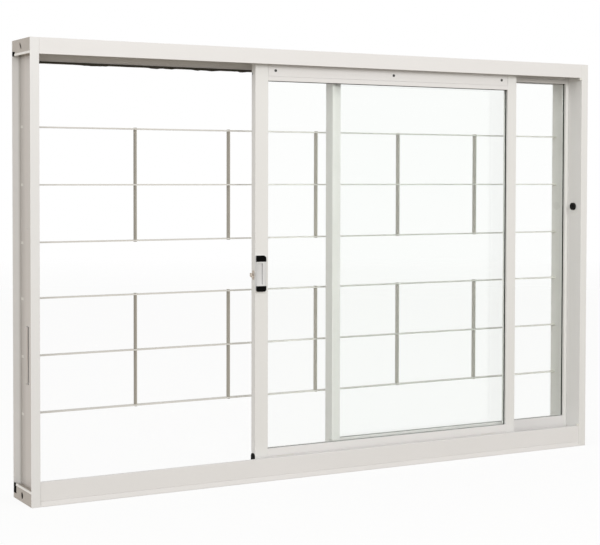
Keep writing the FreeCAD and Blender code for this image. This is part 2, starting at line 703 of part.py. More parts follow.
# ---------------------------------------------------------------- glazed leaves
class Leaf:
    """One glazed leaf: its outline, its glass opening and its four bars."""

    def __init__(self, x0, x1, y0, foot, left_face, right_face, sight_bottom, sight_top,
                 track_top):
        self.x0, self.x1, self.y0, self.foot = x0, x1, y0, foot
        self.y1 = y0 + leaf_depth
        self.middle = y0 + leaf_depth / 2
        self.sight = (x0 + left_face, x1 - right_face, sight_bottom, sight_top)
        self.track_top = track_top
        half_groove = glass_thickness / 2 + gasket_wall
        self.groove_y = (self.middle - half_groove, self.middle + half_groove)

    def groove(self, inset=0.0):
        """The ring outline of the glass grooves, pulled in by an inset."""
        a, b, c, d = self.sight
        g = groove_depth - inset
        return block(a - g, b + g, self.groove_y[0], self.groove_y[1], c - g, d + g)

    def end_slots(self):
        """Clear ways for the sill rib and the head rib."""
        half = rib_width / 2 + rib_clearance
        return [
            block(self.x0 - over, self.x1 + over, self.middle - half, self.middle + half,
                  self.foot - over, self.track_top + rib_clearance),
            block(self.x0 - over, self.x1 + over, self.middle - half, self.middle + half,
                  rib_bottom - rib_clearance, leaf_top + over),
        ]

    def screw_lines(self):
        """Middle of the screw ports at the foot and at the top of the leaf."""
        y = self.y1 - leaf_wall - port_radius + port_seat
        bottom_web = self.sight[2] - groove_depth - leaf_wall
        top_web = self.sight[3] + groove_depth + leaf_wall
        return (y, bottom_web - port_radius + port_seat), (y, top_web + port_radius - port_seat)

    def stile(self, on_left):
        """A hollow upright of the leaf, running past the rails."""
        w = leaf_wall
        a, b = self.sight[0], self.sight[1]
        x0, x1 = (self.x0, a) if on_left else (b, self.x1)
        body = block(x0, x1, self.y0, self.y1, self.foot, leaf_top)
        body = rounded(body, (0, 0, 1), edge_round, lambda c: True)
        g0, g1 = self.groove_y
        root = x1 - groove_depth - w if on_left else x0 + groove_depth + w
        inner = (x0 + w, root) if on_left else (root, x1 - w)
        legs = (root, x1 - w) if on_left else (x0 + w, root)
        for x_range, y_range in ((inner, (self.y0 + w, self.y1 - w)),
                                 (legs, (self.y0 + w, g0 - w)), (legs, (g1 + w, self.y1 - w))):
            body = body.cut(block(*x_range, *y_range, self.foot - over, leaf_top + over))
        body = body.cut(block(x1 - groove_depth if on_left else x0 - over,
                              x1 + over if on_left else x0 + groove_depth,
                              self.groove_y[0], self.groove_y[1],
                              self.foot - over, leaf_top + over))
        for slot in self.end_slots():
            body = body.cut(slot)
        for y, z in self.screw_lines():
            body = body.cut(rod(screw_radius + screw_fit, (x0 - over, y, z), (1, 0, 0),
                                x1 - x0 + 2 * over))
        return body

    def rail(self, top):
        """A horizontal bar of the leaf: glass groove, screw port and a rib channel."""
        w = leaf_wall
        a, b, low, high = self.sight
        ports = self.screw_lines()
        g0, g1 = self.groove_y
        if top:
            z0, z1 = high, leaf_top
            web = (high + groove_depth, high + groove_depth + w)
            face = self.y0 + rail_recess
            step = high + rail_step
            front_walls = [block(a, b, self.y0, g0, high, step),
                           block(a, b, face + w, g0, high, web[1]),
                           block(a + joint_slit, b - joint_slit, face, face + w,
                                 step + bead_groove, leaf_top)]
            port = ports[1]
            leg = (high, web[1])
            shelf = (high, high + w)
        else:
            z0, z1 = self.foot, low
            web = (low - groove_depth - w, low - groove_depth)
            front_walls = [block(a, b, self.y0, self.y0 + w, self.foot, low)]
            port = ports[0]
            leg = (web[0], low)
            shelf = (low - w, low)
        front_walls += [block(a, b, g0 - w, g0, *leg), block(a, b, self.y0, g0, *shelf)]
        rear_walls = [block(a, b, self.y1 - w, self.y1, z0, z1),
                      block(a, b, g1, g1 + w, *leg), block(a, b, g1, self.y1, *shelf)]
        floor = block(a, b, self.y0 + rail_recess, self.y1, *web)
        boss = rod(port_radius, (a, port[0], port[1]), (1, 0, 0), b - a)
        body = joined(front_walls + rear_walls + [floor, boss])
        body = body.cut(rod(screw_radius + screw_fit, (a, port[0], port[1]), (1, 0, 0), b - a))
        body = rounded(body, (1, 0, 0), edge_round,
                       lambda c: c.y < self.y0 + near and (low - near < c.z < high + near))
        return with_bevelled_ends(body, a, b, self.y0)

    def glass(self):
        """The pane, held in the grooves by its bite."""
        a, b, c, d = self.sight
        y0 = self.middle - glass_thickness / 2
        return block(a - glass_bite, b + glass_bite, y0, y0 + glass_thickness,
                     c - glass_bite, d + glass_bite)

    def gasket(self, hang):
        """Rubber channel round the edge of the pane, with a lip that hangs under the top rail."""
        a, b, c, d = self.sight
        opening = block(a, b, self.groove_y[0] - over, self.groove_y[1] + over, c, d - hang)
        return self.groove().cut(opening).cut(self.glass())

    def corner_screws(self):
        """The four screws that pull the stiles onto the rails."""
        first = self.x0 + leaf_wall
        last = self.x1 - leaf_wall
        screws = []
        for y, z in self.screw_lines():
            length = self.sight[0] - first + leaf_screw_reach
            screws.append(screw((first, y, z), (1, 0, 0), length))
            length = last - self.sight[1] + leaf_screw_reach
            screws.append(screw((last, y, z), (-1, 0, 0), length))
        return screws


sliding = Leaf(leaf_left, leaf_right, sliding_front, sliding_foot, latch_stile_face,
               interlock_stile_face, sliding_sight_bottom, sliding_sight_top,
               front_track_height)
fixed = Leaf(fixed_left, fixed_right, fixed_front, fixed_foot, fixed_meeting_face,
             fixed_outer_face, fixed_sight_bottom, fixed_sight_top, rear_track_height)


def with_screw_access(stile, leaf, on_left):
    """Opens the outer wall of a stile so that the screw heads pass into it."""
    for y, z in leaf.screw_lines():
        x = leaf.x0 - over if on_left else leaf.x1 - leaf_wall
        stile = stile.cut(rod(screw_head_radius + screw_fit, (x, y, z), (1, 0, 0),
                              leaf_wall + over))
    return stile


def fixed_meeting_stile():
    """Left stile of the fixed leaf, with the forward interlock hook."""
    y0 = fixed.y0 - fixed_hook_reach
    arm = block(fixed.x0, fixed.x0 + hook_wall, y0, fixed.y0 + leaf_wall,
                fixed.sight[2], fixed.sight[3])
    lip = block(fixed.x0, fixed.x0 + fixed_hook_lip, y0, y0 + hook_wall,
                fixed.sight[2], fixed.sight[3])
    return with_screw_access(joined([fixed.stile(True), arm, lip]), fixed, True)


def sliding_meeting_stile():
    """Right stile of the sliding leaf, with the backward interlock hook."""
    y1 = sliding.y1 + sliding_hook_reach
    arm = block(sliding.x1 - hook_wall, sliding.x1, sliding.y1 - leaf_wall, y1,
                fixed.sight[2], fixed.sight[3])
    lip = block(sliding.x1 - sliding_hook_lip, sliding.x1, y1 - hook_wall, y1,
                fixed.sight[2], fixed.sight[3])
    return with_screw_access(joined([sliding.stile(False), arm, lip]), sliding, False)


def latch_stile():
    """Left stile of the sliding leaf, slotted for the hook and the slider boss."""
    stile = with_screw_access(sliding.stile(True), sliding, True)
    half = hook_plate / 2 + hook_slot_gap
    side = block(sliding.x0 - over, sliding.x0 + leaf_wall + over, front_line - half,
                 front_line + half, hook_middle - hook_height / 2 - hook_slot_gap,
                 hook_middle + hook_height / 2 + latch_travel + hook_slot_gap)
    reach = boss_radius + hook_slot_gap
    way = block(boss_line - reach, boss_line + reach, sliding.y0 - over,
                sliding.y0 + leaf_wall + over, latch_middle - reach,
                latch_middle + reach + latch_travel)
    stile = stile.cut(side).cut(way)
    for z in latch_screw_heights:
        stile = stile.cut(rod(screw_radius + screw_fit, (latch_line, sliding.y0 - over, z),
                              (0, 1, 0), leaf_wall + 2 * over))
    return stile


def sliding_bottom_rail():
    """Bottom rail of the sliding leaf: a groove along its face, its port milled away."""
    rail = sliding.rail(False)
    a, b = sliding.sight[:2]
    z0 = guard_height - foot_groove_drop
    z1 = z0 + foot_groove
    groove_face = sliding.y0 + foot_groove_depth
    clear = housing_length / 2 + cheek_gap
    backing = block(a, b, groove_face, channel_front, z0 - leaf_wall, z1 + leaf_wall)
    for x in wheel_places:
        backing = backing.cut(block(x - clear, x + clear, groove_face, channel_front,
                                    z0 - leaf_wall, z1 + leaf_wall))
    rail = joined([rail, backing])
    rail = rail.cut(block(a - over, b + over, sliding.y0 - over, groove_face, z0, z1))
    port_y, port_z = sliding.screw_lines()[0]
    half = housing_length / 2
    for x in wheel_places:
        rail = rail.cut(block(x - half, x + half, port_y - port_radius - port_seat,
                              channel_rear, port_z - port_radius - port_seat, rail_roof))
    return rail


def sliding_top_rail():
    """Top rail of the sliding leaf with the holes of the three guide screws."""
    rail = sliding.rail(True)
    for x in top_guide_places:
        rail = rail.cut(rod(screw_radius + screw_fit, (x, sliding.y0 - over, guide_screw_height),
                            (0, 1, 0), rail_recess + leaf_wall + over))
    return rail


# --------------------------------------------------------- guides and the wheels
guide_first = sliding.sight[0] + top_guide_inset
guide_last = sliding.sight[1] - top_guide_inset
top_guide_places = [guide_first, (guide_first + guide_last) / 2, guide_last]
channel_front = sliding.y0 + rail_recess + leaf_wall
channel_rear = sliding.y1 - leaf_wall
wheel_places = [sliding.x0 + wheel_inset, sliding.x1 - wheel_inset]
wheel_height = front_track_height + wheel_radius
rail_roof = sliding.sight[2] - groove_depth - leaf_wall


def top_guide(x):
    """Nylon guide in the top rail that straddles the front rib of the head."""
    half = top_guide_length / 2
    web = sliding.sight[3] + groove_depth + leaf_wall
    body = block(x - half, x + half, channel_front, channel_rear, web, leaf_top)
    clear = rib_width / 2 + guide_gap
    body = body.cut(block(x - half - over, x + half + over, front_line - clear, front_line + clear,
                          rib_bottom - rib_clearance, leaf_top + over))
    port_y, port_z = sliding.screw_lines()[1]
    body = body.cut(block(x - half - over, x + half + over, port_y - port_radius - port_gap,
                          channel_rear + over, web - over, port_z + port_radius + port_gap))
    return body.cut(rod(screw_radius + screw_fit, (x, channel_front, guide_screw_height),
                        (0, 1, 0), small_screw_length))


def roller_housing(x):
    """Nylon housing in the bottom rail that carries one wheel on its axle."""
    half = housing_length / 2
    y0 = sliding.y0 + leaf_wall
    y1 = sliding.y1 - leaf_wall
    low = sliding.foot + housing_lift
    body = block(x - half, x + half, y0, y1, low, rail_roof)
    clear = wheel_width / 2 + cheek_gap
    body = body.cut(block(x - housing_slot / 2, x + housing_slot / 2, front_line - clear,
                          front_line + clear, low - over, rail_roof + over))
    side = rib_width / 2 + groove_side
    body = body.cut(block(x - half - over, x + half + over, front_line - side, front_line + side,
                          low - over, front_track_height + rib_clearance))
    return body.cut(rod(axle_radius, (x, y0 - over, wheel_height), (0, 1, 0), y1 - y0 + 2 * over))


def roller_axle(x):
    """Steel axle pressed through both cheeks of a housing."""
    y0 = sliding.y0 + leaf_wall
    y1 = sliding.y1 - leaf_wall
    return rod(axle_radius, (x, y0, wheel_height), (0, 1, 0), y1 - y0)


def wheel(x):
    """Grooved nylon wheel that runs on the front track."""
    half = wheel_width / 2
    outer = wheel_radius + wheel_flange
    root = wheel_radius - wheel_gap
    side = rib_width / 2 + groove_side
    bore = axle_radius + axle_running
    profile = [(bore, -half), (outer, -half), (outer, -side - groove_flare), (root, -side),
               (root, side), (outer, side + groove_flare), (outer, half), (bore, half)]
    points = [Vec(r, y, 0) for r, y in profile]
    face = Part.Face(Part.makePolygon(points + [points[0]]))
    body = face.revolve(Vec(0, 0, 0), Vec(0, 1, 0), 360)
    return shifted(body, x, front_line, wheel_height)


def pile_strip(x0, x1, y0, z0, z1):
    """A run of pile weather strip standing on the inside of a rail wall."""
    toward = 1 if y0 < front_line else -1
    y1 = y0 + toward * seal_thickness
    low, high = min(y0, y1), max(y0, y1)
    return block(x0, x1, low, high, z0, z1)


def pile_seals():
    """Weather strips on both sides of the head rib and of the front track."""
    solids = []
    half = top_guide_length / 2
    z0 = rib_bottom + rib_clearance
    for first, second in zip(top_guide_places[:-1], top_guide_places[1:]):
        for y in (channel_front, channel_rear):
            solids.append(pile_strip(first + half, second - half, y, z0, z0 + seal_height))
    half = housing_length / 2
    z0 = sliding.foot + seal_lift
    for y in (sliding.y0 + leaf_wall, sliding.y1 - leaf_wall):
        solids.append(pile_strip(wheel_places[0] + half, wheel_places[1] - half, y,
                                 z0, z0 + seal_height))
    return solids


def sill_guide():
    """Black guide with an arched top, on the outer side of the latch stile."""
    x0, x1 = sliding.x0 - guide_thickness, sliding.x0
    y0 = front_line - guide_width / 2
    y1 = front_line + guide_width / 2
    plate = block(x0, x1, y0, y1, sliding.foot, sliding.foot + guide_height)
    plate = rounded(plate, (1, 0, 0), guide_width * arch_round,
                    lambda c: c.z > sliding.foot + guide_height - near)
    side = rib_width / 2 + rib_clearance
    return plate.cut(block(x0 - over, x1 + over, front_line - side, front_line + side,
                           sliding.foot - over, front_track_height + rib_clearance))


def setting_block(x):
    """Block that carries the fixed leaf on the rear track."""
    roof = fixed.sight[2] - groove_depth - leaf_wall
    y0 = fixed.y0 + leaf_wall
    y1 = fixed.y1 - leaf_wall
    low = fixed.foot + block_lift
    half = block_length / 2
    body = block(x - half, x + half, y0, y1, low, roof)
    body = body.cut(block(x - half - over, x + half + over, rear_line - rib_width / 2,
                          rear_line + rib_width / 2, low - over, rear_track_height - rib_width / 2))
    crown = rod(rib_width / 2, (x - half - over, rear_line, rear_track_height - rib_width / 2),
                (1, 0, 0), block_length + 2 * over)
    body = body.cut(crown)
    port_y, port_z = fixed.screw_lines()[0]
    return body.cut(block(x - half - over, x + half + over, port_y - port_radius, y1 + over,
                          port_z - port_radius, roof + over))


# ----------------------------------------------------------------------- latch
latch_x0 = sliding.x0 + latch_inset
latch_x1 = latch_x0 + latch_width
latch_line = (latch_x0 + latch_x1) / 2
latch_z0 = latch_middle - latch_height / 2
latch_z1 = latch_middle + latch_height / 2
latch_back = sliding.y0
latch_face = sliding.y0 - latch_depth
cap_low = latch_z0 + cap_height_bottom
cap_high = latch_z1 - cap_height_top
slider_x0 = latch_x0 + latch_plate + slider_gap
slider_x1 = latch_x1 - latch_plate - slider_gap
slider_back = latch_back - latch_plate - slider_gap
slider_front = slider_back - slider_thickness
boss_line = sliding.x0 + leaf_wall + hook_root * boss_share
latch_screw_heights = (latch_z0 + latch_screw_inset, latch_z1 - latch_screw_inset)


def latch_base():
    """Channel-shaped base of the latch, screwed to the face of the stile."""
    y0 = slider_front
    body = block(latch_x0, latch_x1, y0, latch_back, latch_z0, latch_z1)
    body = rounded(body, (0, 1, 0), cap_corner, lambda c: c.x > latch_line or c.z < latch_middle)
    body = body.cut(block(latch_x0 + latch_plate, latch_x1 - latch_plate, y0 - over,
                          latch_back - latch_plate, cap_low - slider_tuck_low - latch_pocket_gap,
                          cap_high + slider_tuck_high + latch_travel + latch_pocket_gap))
    reach = boss_radius + hook_slot_gap
    body = body.cut(block(boss_line - reach, boss_line + reach, y0 - over, latch_back + over,
                          latch_middle - reach, latch_middle + reach + latch_travel))
    for z in latch_screw_heights:
        body = body.cut(rod(screw_radius + screw_fit, (latch_line, y0 - over, z), (0, 1, 0),
                            latch_depth))
        body = body.cut(rod(latch_screw_head + screw_fit, (latch_line, y0 - over, z), (0, 1, 0),
                            over + screw_head_height))
    return body


def latch_cap(top):
    """Black end cap over one end of the latch base."""
    z0, z1 = (cap_high, latch_z1) if top else (latch_z0, cap_low)
    cap = block(latch_x0, latch_x1, latch_face, slider_front, z0, z1)
    if top:
        cap = rounded(cap, (0, 1, 0), cap_corner,
                      lambda c: c.z > latch_middle + latch_height / 2 - near and c.x > latch_line)
    else:
        cap = rounded(cap, (0, 1, 0), cap_corner, lambda c: c.z < latch_z0 + near)
    cap = cap.makeFillet(
        cap_wall * cap_round,
        [e for e in cap.Edges if abs(e.CenterOfMass.y - latch_face) < near
         and abs(e.CenterOfMass.z - (z0 if top else z1)) > cap_wall / 2],
    )
    return cap


def latch_slider():
    """Sliding plate of the latch with a raised finger grip and the boss behind it."""
    z0, z1 = cap_low - slider_tuck_low, cap_high + slider_tuck_high
    back_edge = slider_back
    front_edge = slider_front + slider_gap
    plate = block(slider_x0, slider_x1, front_edge, back_edge, z0, z1)
    g0, g1 = cap_low + grip_margin, cap_high - grip_margin
    grip_face = latch_face + grip_recess
    grip = block(slider_x0, slider_x1, grip_face, front_edge, g0, g1)
    grip = rounded(grip, (1, 0, 0), grip_floor, lambda c: c.y < grip_face + near)
    scoop_x0 = slider_x0 + grip_wall
    scoop_x1 = slider_x0 + (slider_x1 - slider_x0) * grip_share
    scoop = block(scoop_x0, scoop_x1, latch_face - over, front_edge - grip_floor,
                  g0 + grip_wall, g1 - grip_wall)
    grip = grip.cut(scoop)
    boss = rod(boss_radius, (boss_line, back_edge, latch_middle), (0, 1, 0),
               front_line - hook_plate / 2 - back_edge)
    pin = rod(boss_pin_radius, (boss_line, back_edge, latch_middle), (0, 1, 0),
              front_line + hook_plate / 2 - back_edge)
    return joined([plate, grip, boss, pin])


def latch_hook():
    """Hook on the slider boss, with a collar over its slot: it slides up behind the strike."""
    y0 = front_line - hook_plate / 2
    x0 = sliding.x0 - hook_reach
    z0 = hook_middle - hook_height / 2
    z1 = hook_middle + hook_height / 2
    shank_x = sliding.x0 + leaf_wall + hook_slot_gap
    x_root = sliding.x0 + leaf_wall + hook_root
    outline = [
        (x0 + hook_chamfer, y0, z0), (x_root, y0, z0), (x_root, y0, latch_middle + hook_rise),
        (shank_x, y0, latch_middle + hook_rise),
        (shank_x, y0, z0 + hook_neck),
        (x0 + hook_lip, y0, z0 + hook_neck), (x0 + hook_lip, y0, z1), (x0, y0, z1),
        (x0, y0, z0 + hook_chamfer),
    ]
    reach = latch_travel + collar_rim
    collar = block(sliding.x0 - collar_gap - collar_thickness, sliding.x0 - collar_gap,
                   y0 - collar_rim, y0 + hook_plate + collar_rim, z0 - reach, z1 + reach)
    collar = rounded(collar, (1, 0, 0), collar_corner, lambda c: True)
    plate = joined([prism(outline, (0, hook_plate, 0)), collar])
    return plate.cut(rod(boss_pin_radius, (boss_line, y0 - over, latch_middle), (0, 1, 0),
                         hook_plate + 2 * over))


# ------------------------------------------------------------------------ nodes
def frame_nodes():
    """Outer frame and what is fixed to it."""
    nodes = {
        "left_jamb": left_jamb(),
        "right_jamb": right_jamb(),
        "head": head_bar(),
        "sill": sill_bar(),
        "head_sealing_strip": head_strip(),
        "top_left_corner_plate": shelved_plate(True),
        "top_right_corner_plate": mirrored(corner_plate(True)),
        "bottom_left_corner_plate": shelved_plate(False),
        "bottom_right_corner_plate": mirrored(corner_plate(False)),
        "masonry_straps": group([
            masonry_strap(inner_left, strap_rear_left),
            mirrored(masonry_strap(pocket_back_plane, strap_rear_right)),
        ]),
        "strike_plate": strike_plate(),
        "jamb_bumper": jamb_bumper(),
        "corner_blocks": group([
            corner_block(guard_height),
            corner_block(window_height - head_lip_height - corner_block_height),
        ]),
    }
    corner = [screw((web_outer, y, z), (1, 0, 0), frame_screw_length) for y, z in frame_screws]
    nodes["frame_corner_screws"] = group(corner + [mirrored(s) for s in corner])
    nodes["strike_screws"] = group([
        flush_screw((inner_left + strike_thickness, front_line, z), (-1, 0, 0),
                    small_screw_length)
        for z in strike_screw_heights
    ])
    return nodes


def grille_nodes():
    """Bars, uprights and bushes of the grille."""
    nodes = {}
    for n, z in enumerate(bar_heights):
        nodes["grille_bar_%d" % (n + 1)] = grille_bar(z, crossing=n in (1, 4))
    for row in ("upper", "lower"):
        for n, x in enumerate(upright_places):
            nodes["%s_upright_%d" % (row, n + 1)] = grille_upright(x, upright_tops(row))
    bushes = [bar_bush(z) for z in bar_heights]
    nodes["bar_bushes"] = group(bushes + [mirrored(b) for b in bushes])
    return nodes


def fixed_leaf_nodes():
    """Fixed leaf in the rear track."""
    blocks = [setting_block(x) for x in (fixed.x0 + block_inset, fixed.x1 - block_inset)]
    return {
        "fixed_meeting_stile": fixed_meeting_stile(),
        "fixed_outer_stile": with_screw_access(fixed.stile(False), fixed, False),
        "fixed_top_rail": fixed.rail(True),
        "fixed_bottom_rail": fixed.rail(False),
        "fixed_glass": fixed.glass(),
        "fixed_gasket": fixed.gasket(fixed_gasket_lip),
        "fixed_leaf_screws": group(fixed.corner_screws()),
        "setting_blocks": group(blocks),
    }


def sliding_leaf_nodes():
    """Sliding leaf in the front track, with its wheels and its latch."""
    guide_screws = [screw((x, sliding.y0 + rail_recess, guide_screw_height), (0, 1, 0),
                          guide_screw_length) for x in top_guide_places]
    latch_screws = [screw((latch_line, slider_front + screw_head_height, z), (0, 1, 0),
                          small_screw_length, latch_screw_head) for z in latch_screw_heights]
    return {
        "latch_stile": latch_stile(),
        "sliding_meeting_stile": sliding_meeting_stile(),
        "sliding_top_rail": sliding_top_rail(),
        "sliding_bottom_rail": sliding_bottom_rail(),
        "sliding_glass": sliding.glass(),
        "sliding_gasket": sliding.gasket(sliding_gasket_lip),
        "sliding_leaf_screws": group(sliding.corner_screws()),
        "top_guides": group([top_guide(x) for x in top_guide_places]),
        "top_guide_screws": group(guide_screws),
        "roller_housings": group([roller_housing(x) for x in wheel_places]),
        "roller_axles": group([roller_axle(x) for x in wheel_places]),
        "pile_seals": group(pile_seals()),
        "sill_guide": sill_guide(),
        "left_wheel": wheel(wheel_places[0]),
        "right_wheel": wheel(wheel_places[1]),
        "latch_base": latch_base(),
        "latch_end_caps": group([latch_cap(True), latch_cap(False)]),
        "latch_screws": group(latch_screws),
        "latch_slider": latch_slider(),
        "latch_hook": latch_hook(),
    }


def main():
    """Writes one STEP file for each node."""
    os.makedirs("parts", exist_ok=True)
    nodes = {}
    for part in (frame_nodes, grille_nodes, fixed_leaf_nodes, sliding_leaf_nodes):
        nodes.update(part())
    for name, shape in nodes.items():
        if not shape.isValid():
            raise ValueError("shape is not valid: " + name)
        shape.exportStep(os.path.join("parts", name + ".step"))
    print(len(nodes), "nodes")
    travel = leaf_left - closed_left, inner_right - bumper_thickness - leaf_right
    print("leaf travel to shut and to the bumper:", travel)
    print("wheel turn per metre:", 1000 / wheel_radius)


main()
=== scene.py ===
import logging
import math
from collections.abc import Callable, Iterable, Iterator, Mapping
from contextlib import contextmanager
from dataclasses import dataclass
from enum import Enum

import bpy
from mathutils import Matrix, Vector


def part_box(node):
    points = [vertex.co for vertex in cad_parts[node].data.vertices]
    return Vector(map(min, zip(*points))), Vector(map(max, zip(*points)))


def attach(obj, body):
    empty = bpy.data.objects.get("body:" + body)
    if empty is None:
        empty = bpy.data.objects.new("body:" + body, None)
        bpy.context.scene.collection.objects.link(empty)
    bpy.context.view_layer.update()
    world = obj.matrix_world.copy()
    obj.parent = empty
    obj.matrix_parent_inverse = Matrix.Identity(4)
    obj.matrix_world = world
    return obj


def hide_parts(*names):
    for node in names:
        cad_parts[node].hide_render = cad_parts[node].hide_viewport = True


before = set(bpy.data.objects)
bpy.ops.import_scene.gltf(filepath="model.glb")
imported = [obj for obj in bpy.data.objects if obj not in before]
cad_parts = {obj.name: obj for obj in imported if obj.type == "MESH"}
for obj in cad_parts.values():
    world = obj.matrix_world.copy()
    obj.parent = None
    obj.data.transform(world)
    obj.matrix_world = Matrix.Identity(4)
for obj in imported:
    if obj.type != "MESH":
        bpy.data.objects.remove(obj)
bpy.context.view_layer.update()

X, Y, Z = range(3)                  # the axes, as numbers
MM = 0.001
WELD = 0.002 * MM                   # corners this near each other are one corner
ALONG = 0.9                         # cosine over which a normal or a run is along an axis
SHARP = math.radians(35)            # edges that turn more than this stay sharp
log = logging.getLogger("sliding_window")

Test = Callable[[Vector, Vector], bool]         # takes an element's middle, and normal or run
Offset = tuple[float, float, float]
Piece = bpy.types.Object
Tree = bpy.types.NodeTree
Socket = bpy.types.NodeSocket


class Body(Enum):
    """The moving bodies that a piece can ride on."""

    FRAME = "frame"
    LEAF = "sliding_leaf"
    LATCH = "latch_bolt"


class Side(Enum):
    """Which way a face looks, as the axis and the sign of its normal."""

    LEFT = (X, -1)
    RIGHT = (X, 1)
    ROOM = (Y, -1)


# ---------------------------------------------------------------- mesh tools
def deselect() -> None:
    """Drops the whole selection, which the loaded nodes start in."""
    if bpy.context.object and bpy.context.object.mode != "OBJECT":
        bpy.ops.object.mode_set(mode="OBJECT")
    bpy.ops.object.select_all(action="DESELECT")


def activate(piece: Piece) -> None:
    """Makes a piece the only selected and the active one.

    Args:
        piece: The piece.
    """
    deselect()
    piece.select_set(True)
    bpy.context.view_layer.objects.active = piece


@contextmanager
def editing(piece: Piece, mode: str = "FACE") -> Iterator[None]:
    """Opens a piece in edit mode with nothing selected.

    Args:
        piece: The piece to shape.
        mode: What is picked: VERT, EDGE or FACE.

    Yields:
        Nothing, while the piece is open.
    """
    activate(piece)
    bpy.ops.object.mode_set(mode="EDIT")
    bpy.ops.mesh.select_mode(type=mode)
    bpy.ops.mesh.select_all(action="DESELECT")
    try:
        yield
    finally:
        bpy.ops.object.mode_set(mode="OBJECT")


def pick(piece: Piece, kind: str, test: Test) -> None:
    """Selects the faces, edges or corners that a test accepts, while a piece is being edited.

    Args:
        piece: The piece in edit mode.
        kind: FACE, EDGE or VERT.
        test: Takes the middle of the element, and its normal or its run.
    """
    bpy.ops.object.mode_set(mode="OBJECT")
    mesh = piece.data
    for group in (mesh.vertices, mesh.edges, mesh.polygons):
        for element in group:
            element.select = False
    if kind == "FACE":
        for face in mesh.polygons:
            face.select = test(face.center, face.normal)
    elif kind == "EDGE":
        for edge in mesh.edges:
            a, b = (mesh.vertices[n].co for n in edge.vertices)
            edge.select = test((a + b) / 2, (b - a).normalized())
    else:
        for corner in mesh.vertices:
            corner.select = test(corner.co, corner.normal)
    bpy.ops.object.mode_set(mode="EDIT")
    bpy.ops.mesh.select_mode(type=kind)


def facing(side: Side) -> Test:
    """A face test for pick: the faces that look towards one side."""
    axis, sign = side.value
    return lambda middle, normal: normal[axis] * sign > ALONG


def settled(name: str) -> Piece:
    """Names a new primitive and moves its place, turn and size into its mesh.

    Args:
        name: Name of the new piece.

    Returns:
        The piece, with its object at the origin.
    """
    piece = bpy.context.object
    piece.name = piece.data.name = name
    bpy.ops.object.transform_apply(location=True, rotation=True, scale=True)
    return piece


def start_block(name: str, low: Vector, high: Vector) -> Piece:
    """Adds a block between two corners, ready to be shaped.

    Args:
        name: Name of the new piece.
        low: Its lowest corner.
        high: Its highest corner.

    Returns:
        The block, with its place in its mesh.
    """
    deselect()
    bpy.ops.mesh.primitive_cube_add(size=1.0, location=(low + high) / 2, scale=high - low)
    return settled(name)


def start_disc(name: str, middle: Vector, radius: float, depth: float, axis: int,
               sides: int = 48) -> Piece:
    """Adds a round bar about X, Y or Z, ready to be shaped.

    Args:
        name: Name of the new piece.
        middle: The middle of the bar.
        radius: Its radius.
        depth: Its length.
        axis: The axis that it lies along: X, Y or Z.
        sides: Number of sides round it.

    Returns:
        The bar, with its place in its mesh.
    """
    deselect()
    turn = {X: (0, math.pi / 2, 0), Y: (math.pi / 2, 0, 0), Z: (0, 0, 0)}[axis]
    bpy.ops.mesh.primitive_cylinder_add(vertices=sides, radius=radius, depth=depth,
                                        location=middle, rotation=turn)
    return settled(name)


def finish_with(piece: Piece, kind: str, **settings: object) -> None:
    """Adds a modifier to a piece and applies it.

    Args:
        piece: The piece to finish.
        kind: Blender's name for the modifier type.
        **settings: Values to set on the modifier.
    """
    activate(piece)
    modifier = piece.modifiers.new(kind.title(), kind)
    for name, value in settings.items():
        setattr(modifier, name, value)
    bpy.ops.object.modifier_apply(modifier=modifier.name)


def soften(piece: Piece, width: float, segments: int = 3) -> None:
    """Rounds every sharp edge of a piece and shades it smooth.

    Args:
        piece: The piece to finish.
        width: Width of the rounding.
        segments: Its number of steps.
    """
    finish_with(piece, "BEVEL", width=width, segments=segments, limit_method="ANGLE",
                angle_limit=SHARP, harden_normals=False)
    bpy.ops.object.shade_smooth_by_angle(angle=SHARP)


def discard(piece: Piece) -> None:
    """Takes a pattern or a cutter out of the scene."""
    bpy.data.objects.remove(piece, do_unlink=True)


def push(piece: Piece, test: Test, offset: Offset) -> None:
    """Moves the corners that a test accepts.

    Args:
        piece: The piece to shape.
        test: A corner test for pick.
        offset: How far the corners move.
    """
    with editing(piece, "VERT"):
        pick(piece, "VERT", test)
        bpy.ops.transform.translate(value=offset)


def sink(piece: Piece, test: Test, inset: float, offset: Offset) -> None:
    """Insets the faces that a test accepts and pushes them in or out.

    Args:
        piece: The piece to shape.
        test: A face test for pick.
        inset: Width of the border that stays.
        offset: How far the inset faces move.
    """
    with editing(piece):
        pick(piece, "FACE", test)
        if inset:
            bpy.ops.mesh.inset(thickness=inset)
        if any(offset):
            bpy.ops.mesh.extrude_region_move(TRANSFORM_OT_translate={"value": offset})


def score(piece: Piece, place: Offset, normal: Offset) -> None:
    """Cuts an edge loop round a piece where a plane crosses it.

    Args:
        piece: The piece to shape.
        place: A point of the plane.
        normal: The plane's normal.
    """
    with editing(piece):
        bpy.ops.mesh.select_all(action="SELECT")
        bpy.ops.mesh.bisect(plane_co=place, plane_no=normal)


def round_off(piece: Piece, test: Test, radius: float, segments: int = 6) -> None:
    """Rounds the edges that a test accepts.

    Args:
        piece: The piece to shape.
        test: An edge test for pick.
        radius: Radius of the rounding.
        segments: Its number of steps.
    """
    with editing(piece, "EDGE"):
        pick(piece, "EDGE", test)
        bpy.ops.mesh.bevel(offset=radius, segments=segments)


def ring_round(name: str, low: Vector, high: Vector, width: float) -> Piece:
    """A frame-shaped ring that stands in the XZ plane.

    Args:
        name: Name of the new piece.
        low: Its lowest corner.
        high: Its highest corner.
        width: Width of the ring, across.

    Returns:
        The ring.
    """
    ring = start_block(name, low, high)
    with editing(ring):
        pick(ring, "FACE", lambda middle, normal: abs(normal.y) > ALONG)
        bpy.ops.mesh.inset(thickness=width)
        bpy.ops.mesh.bridge_edge_loops()
    return ring


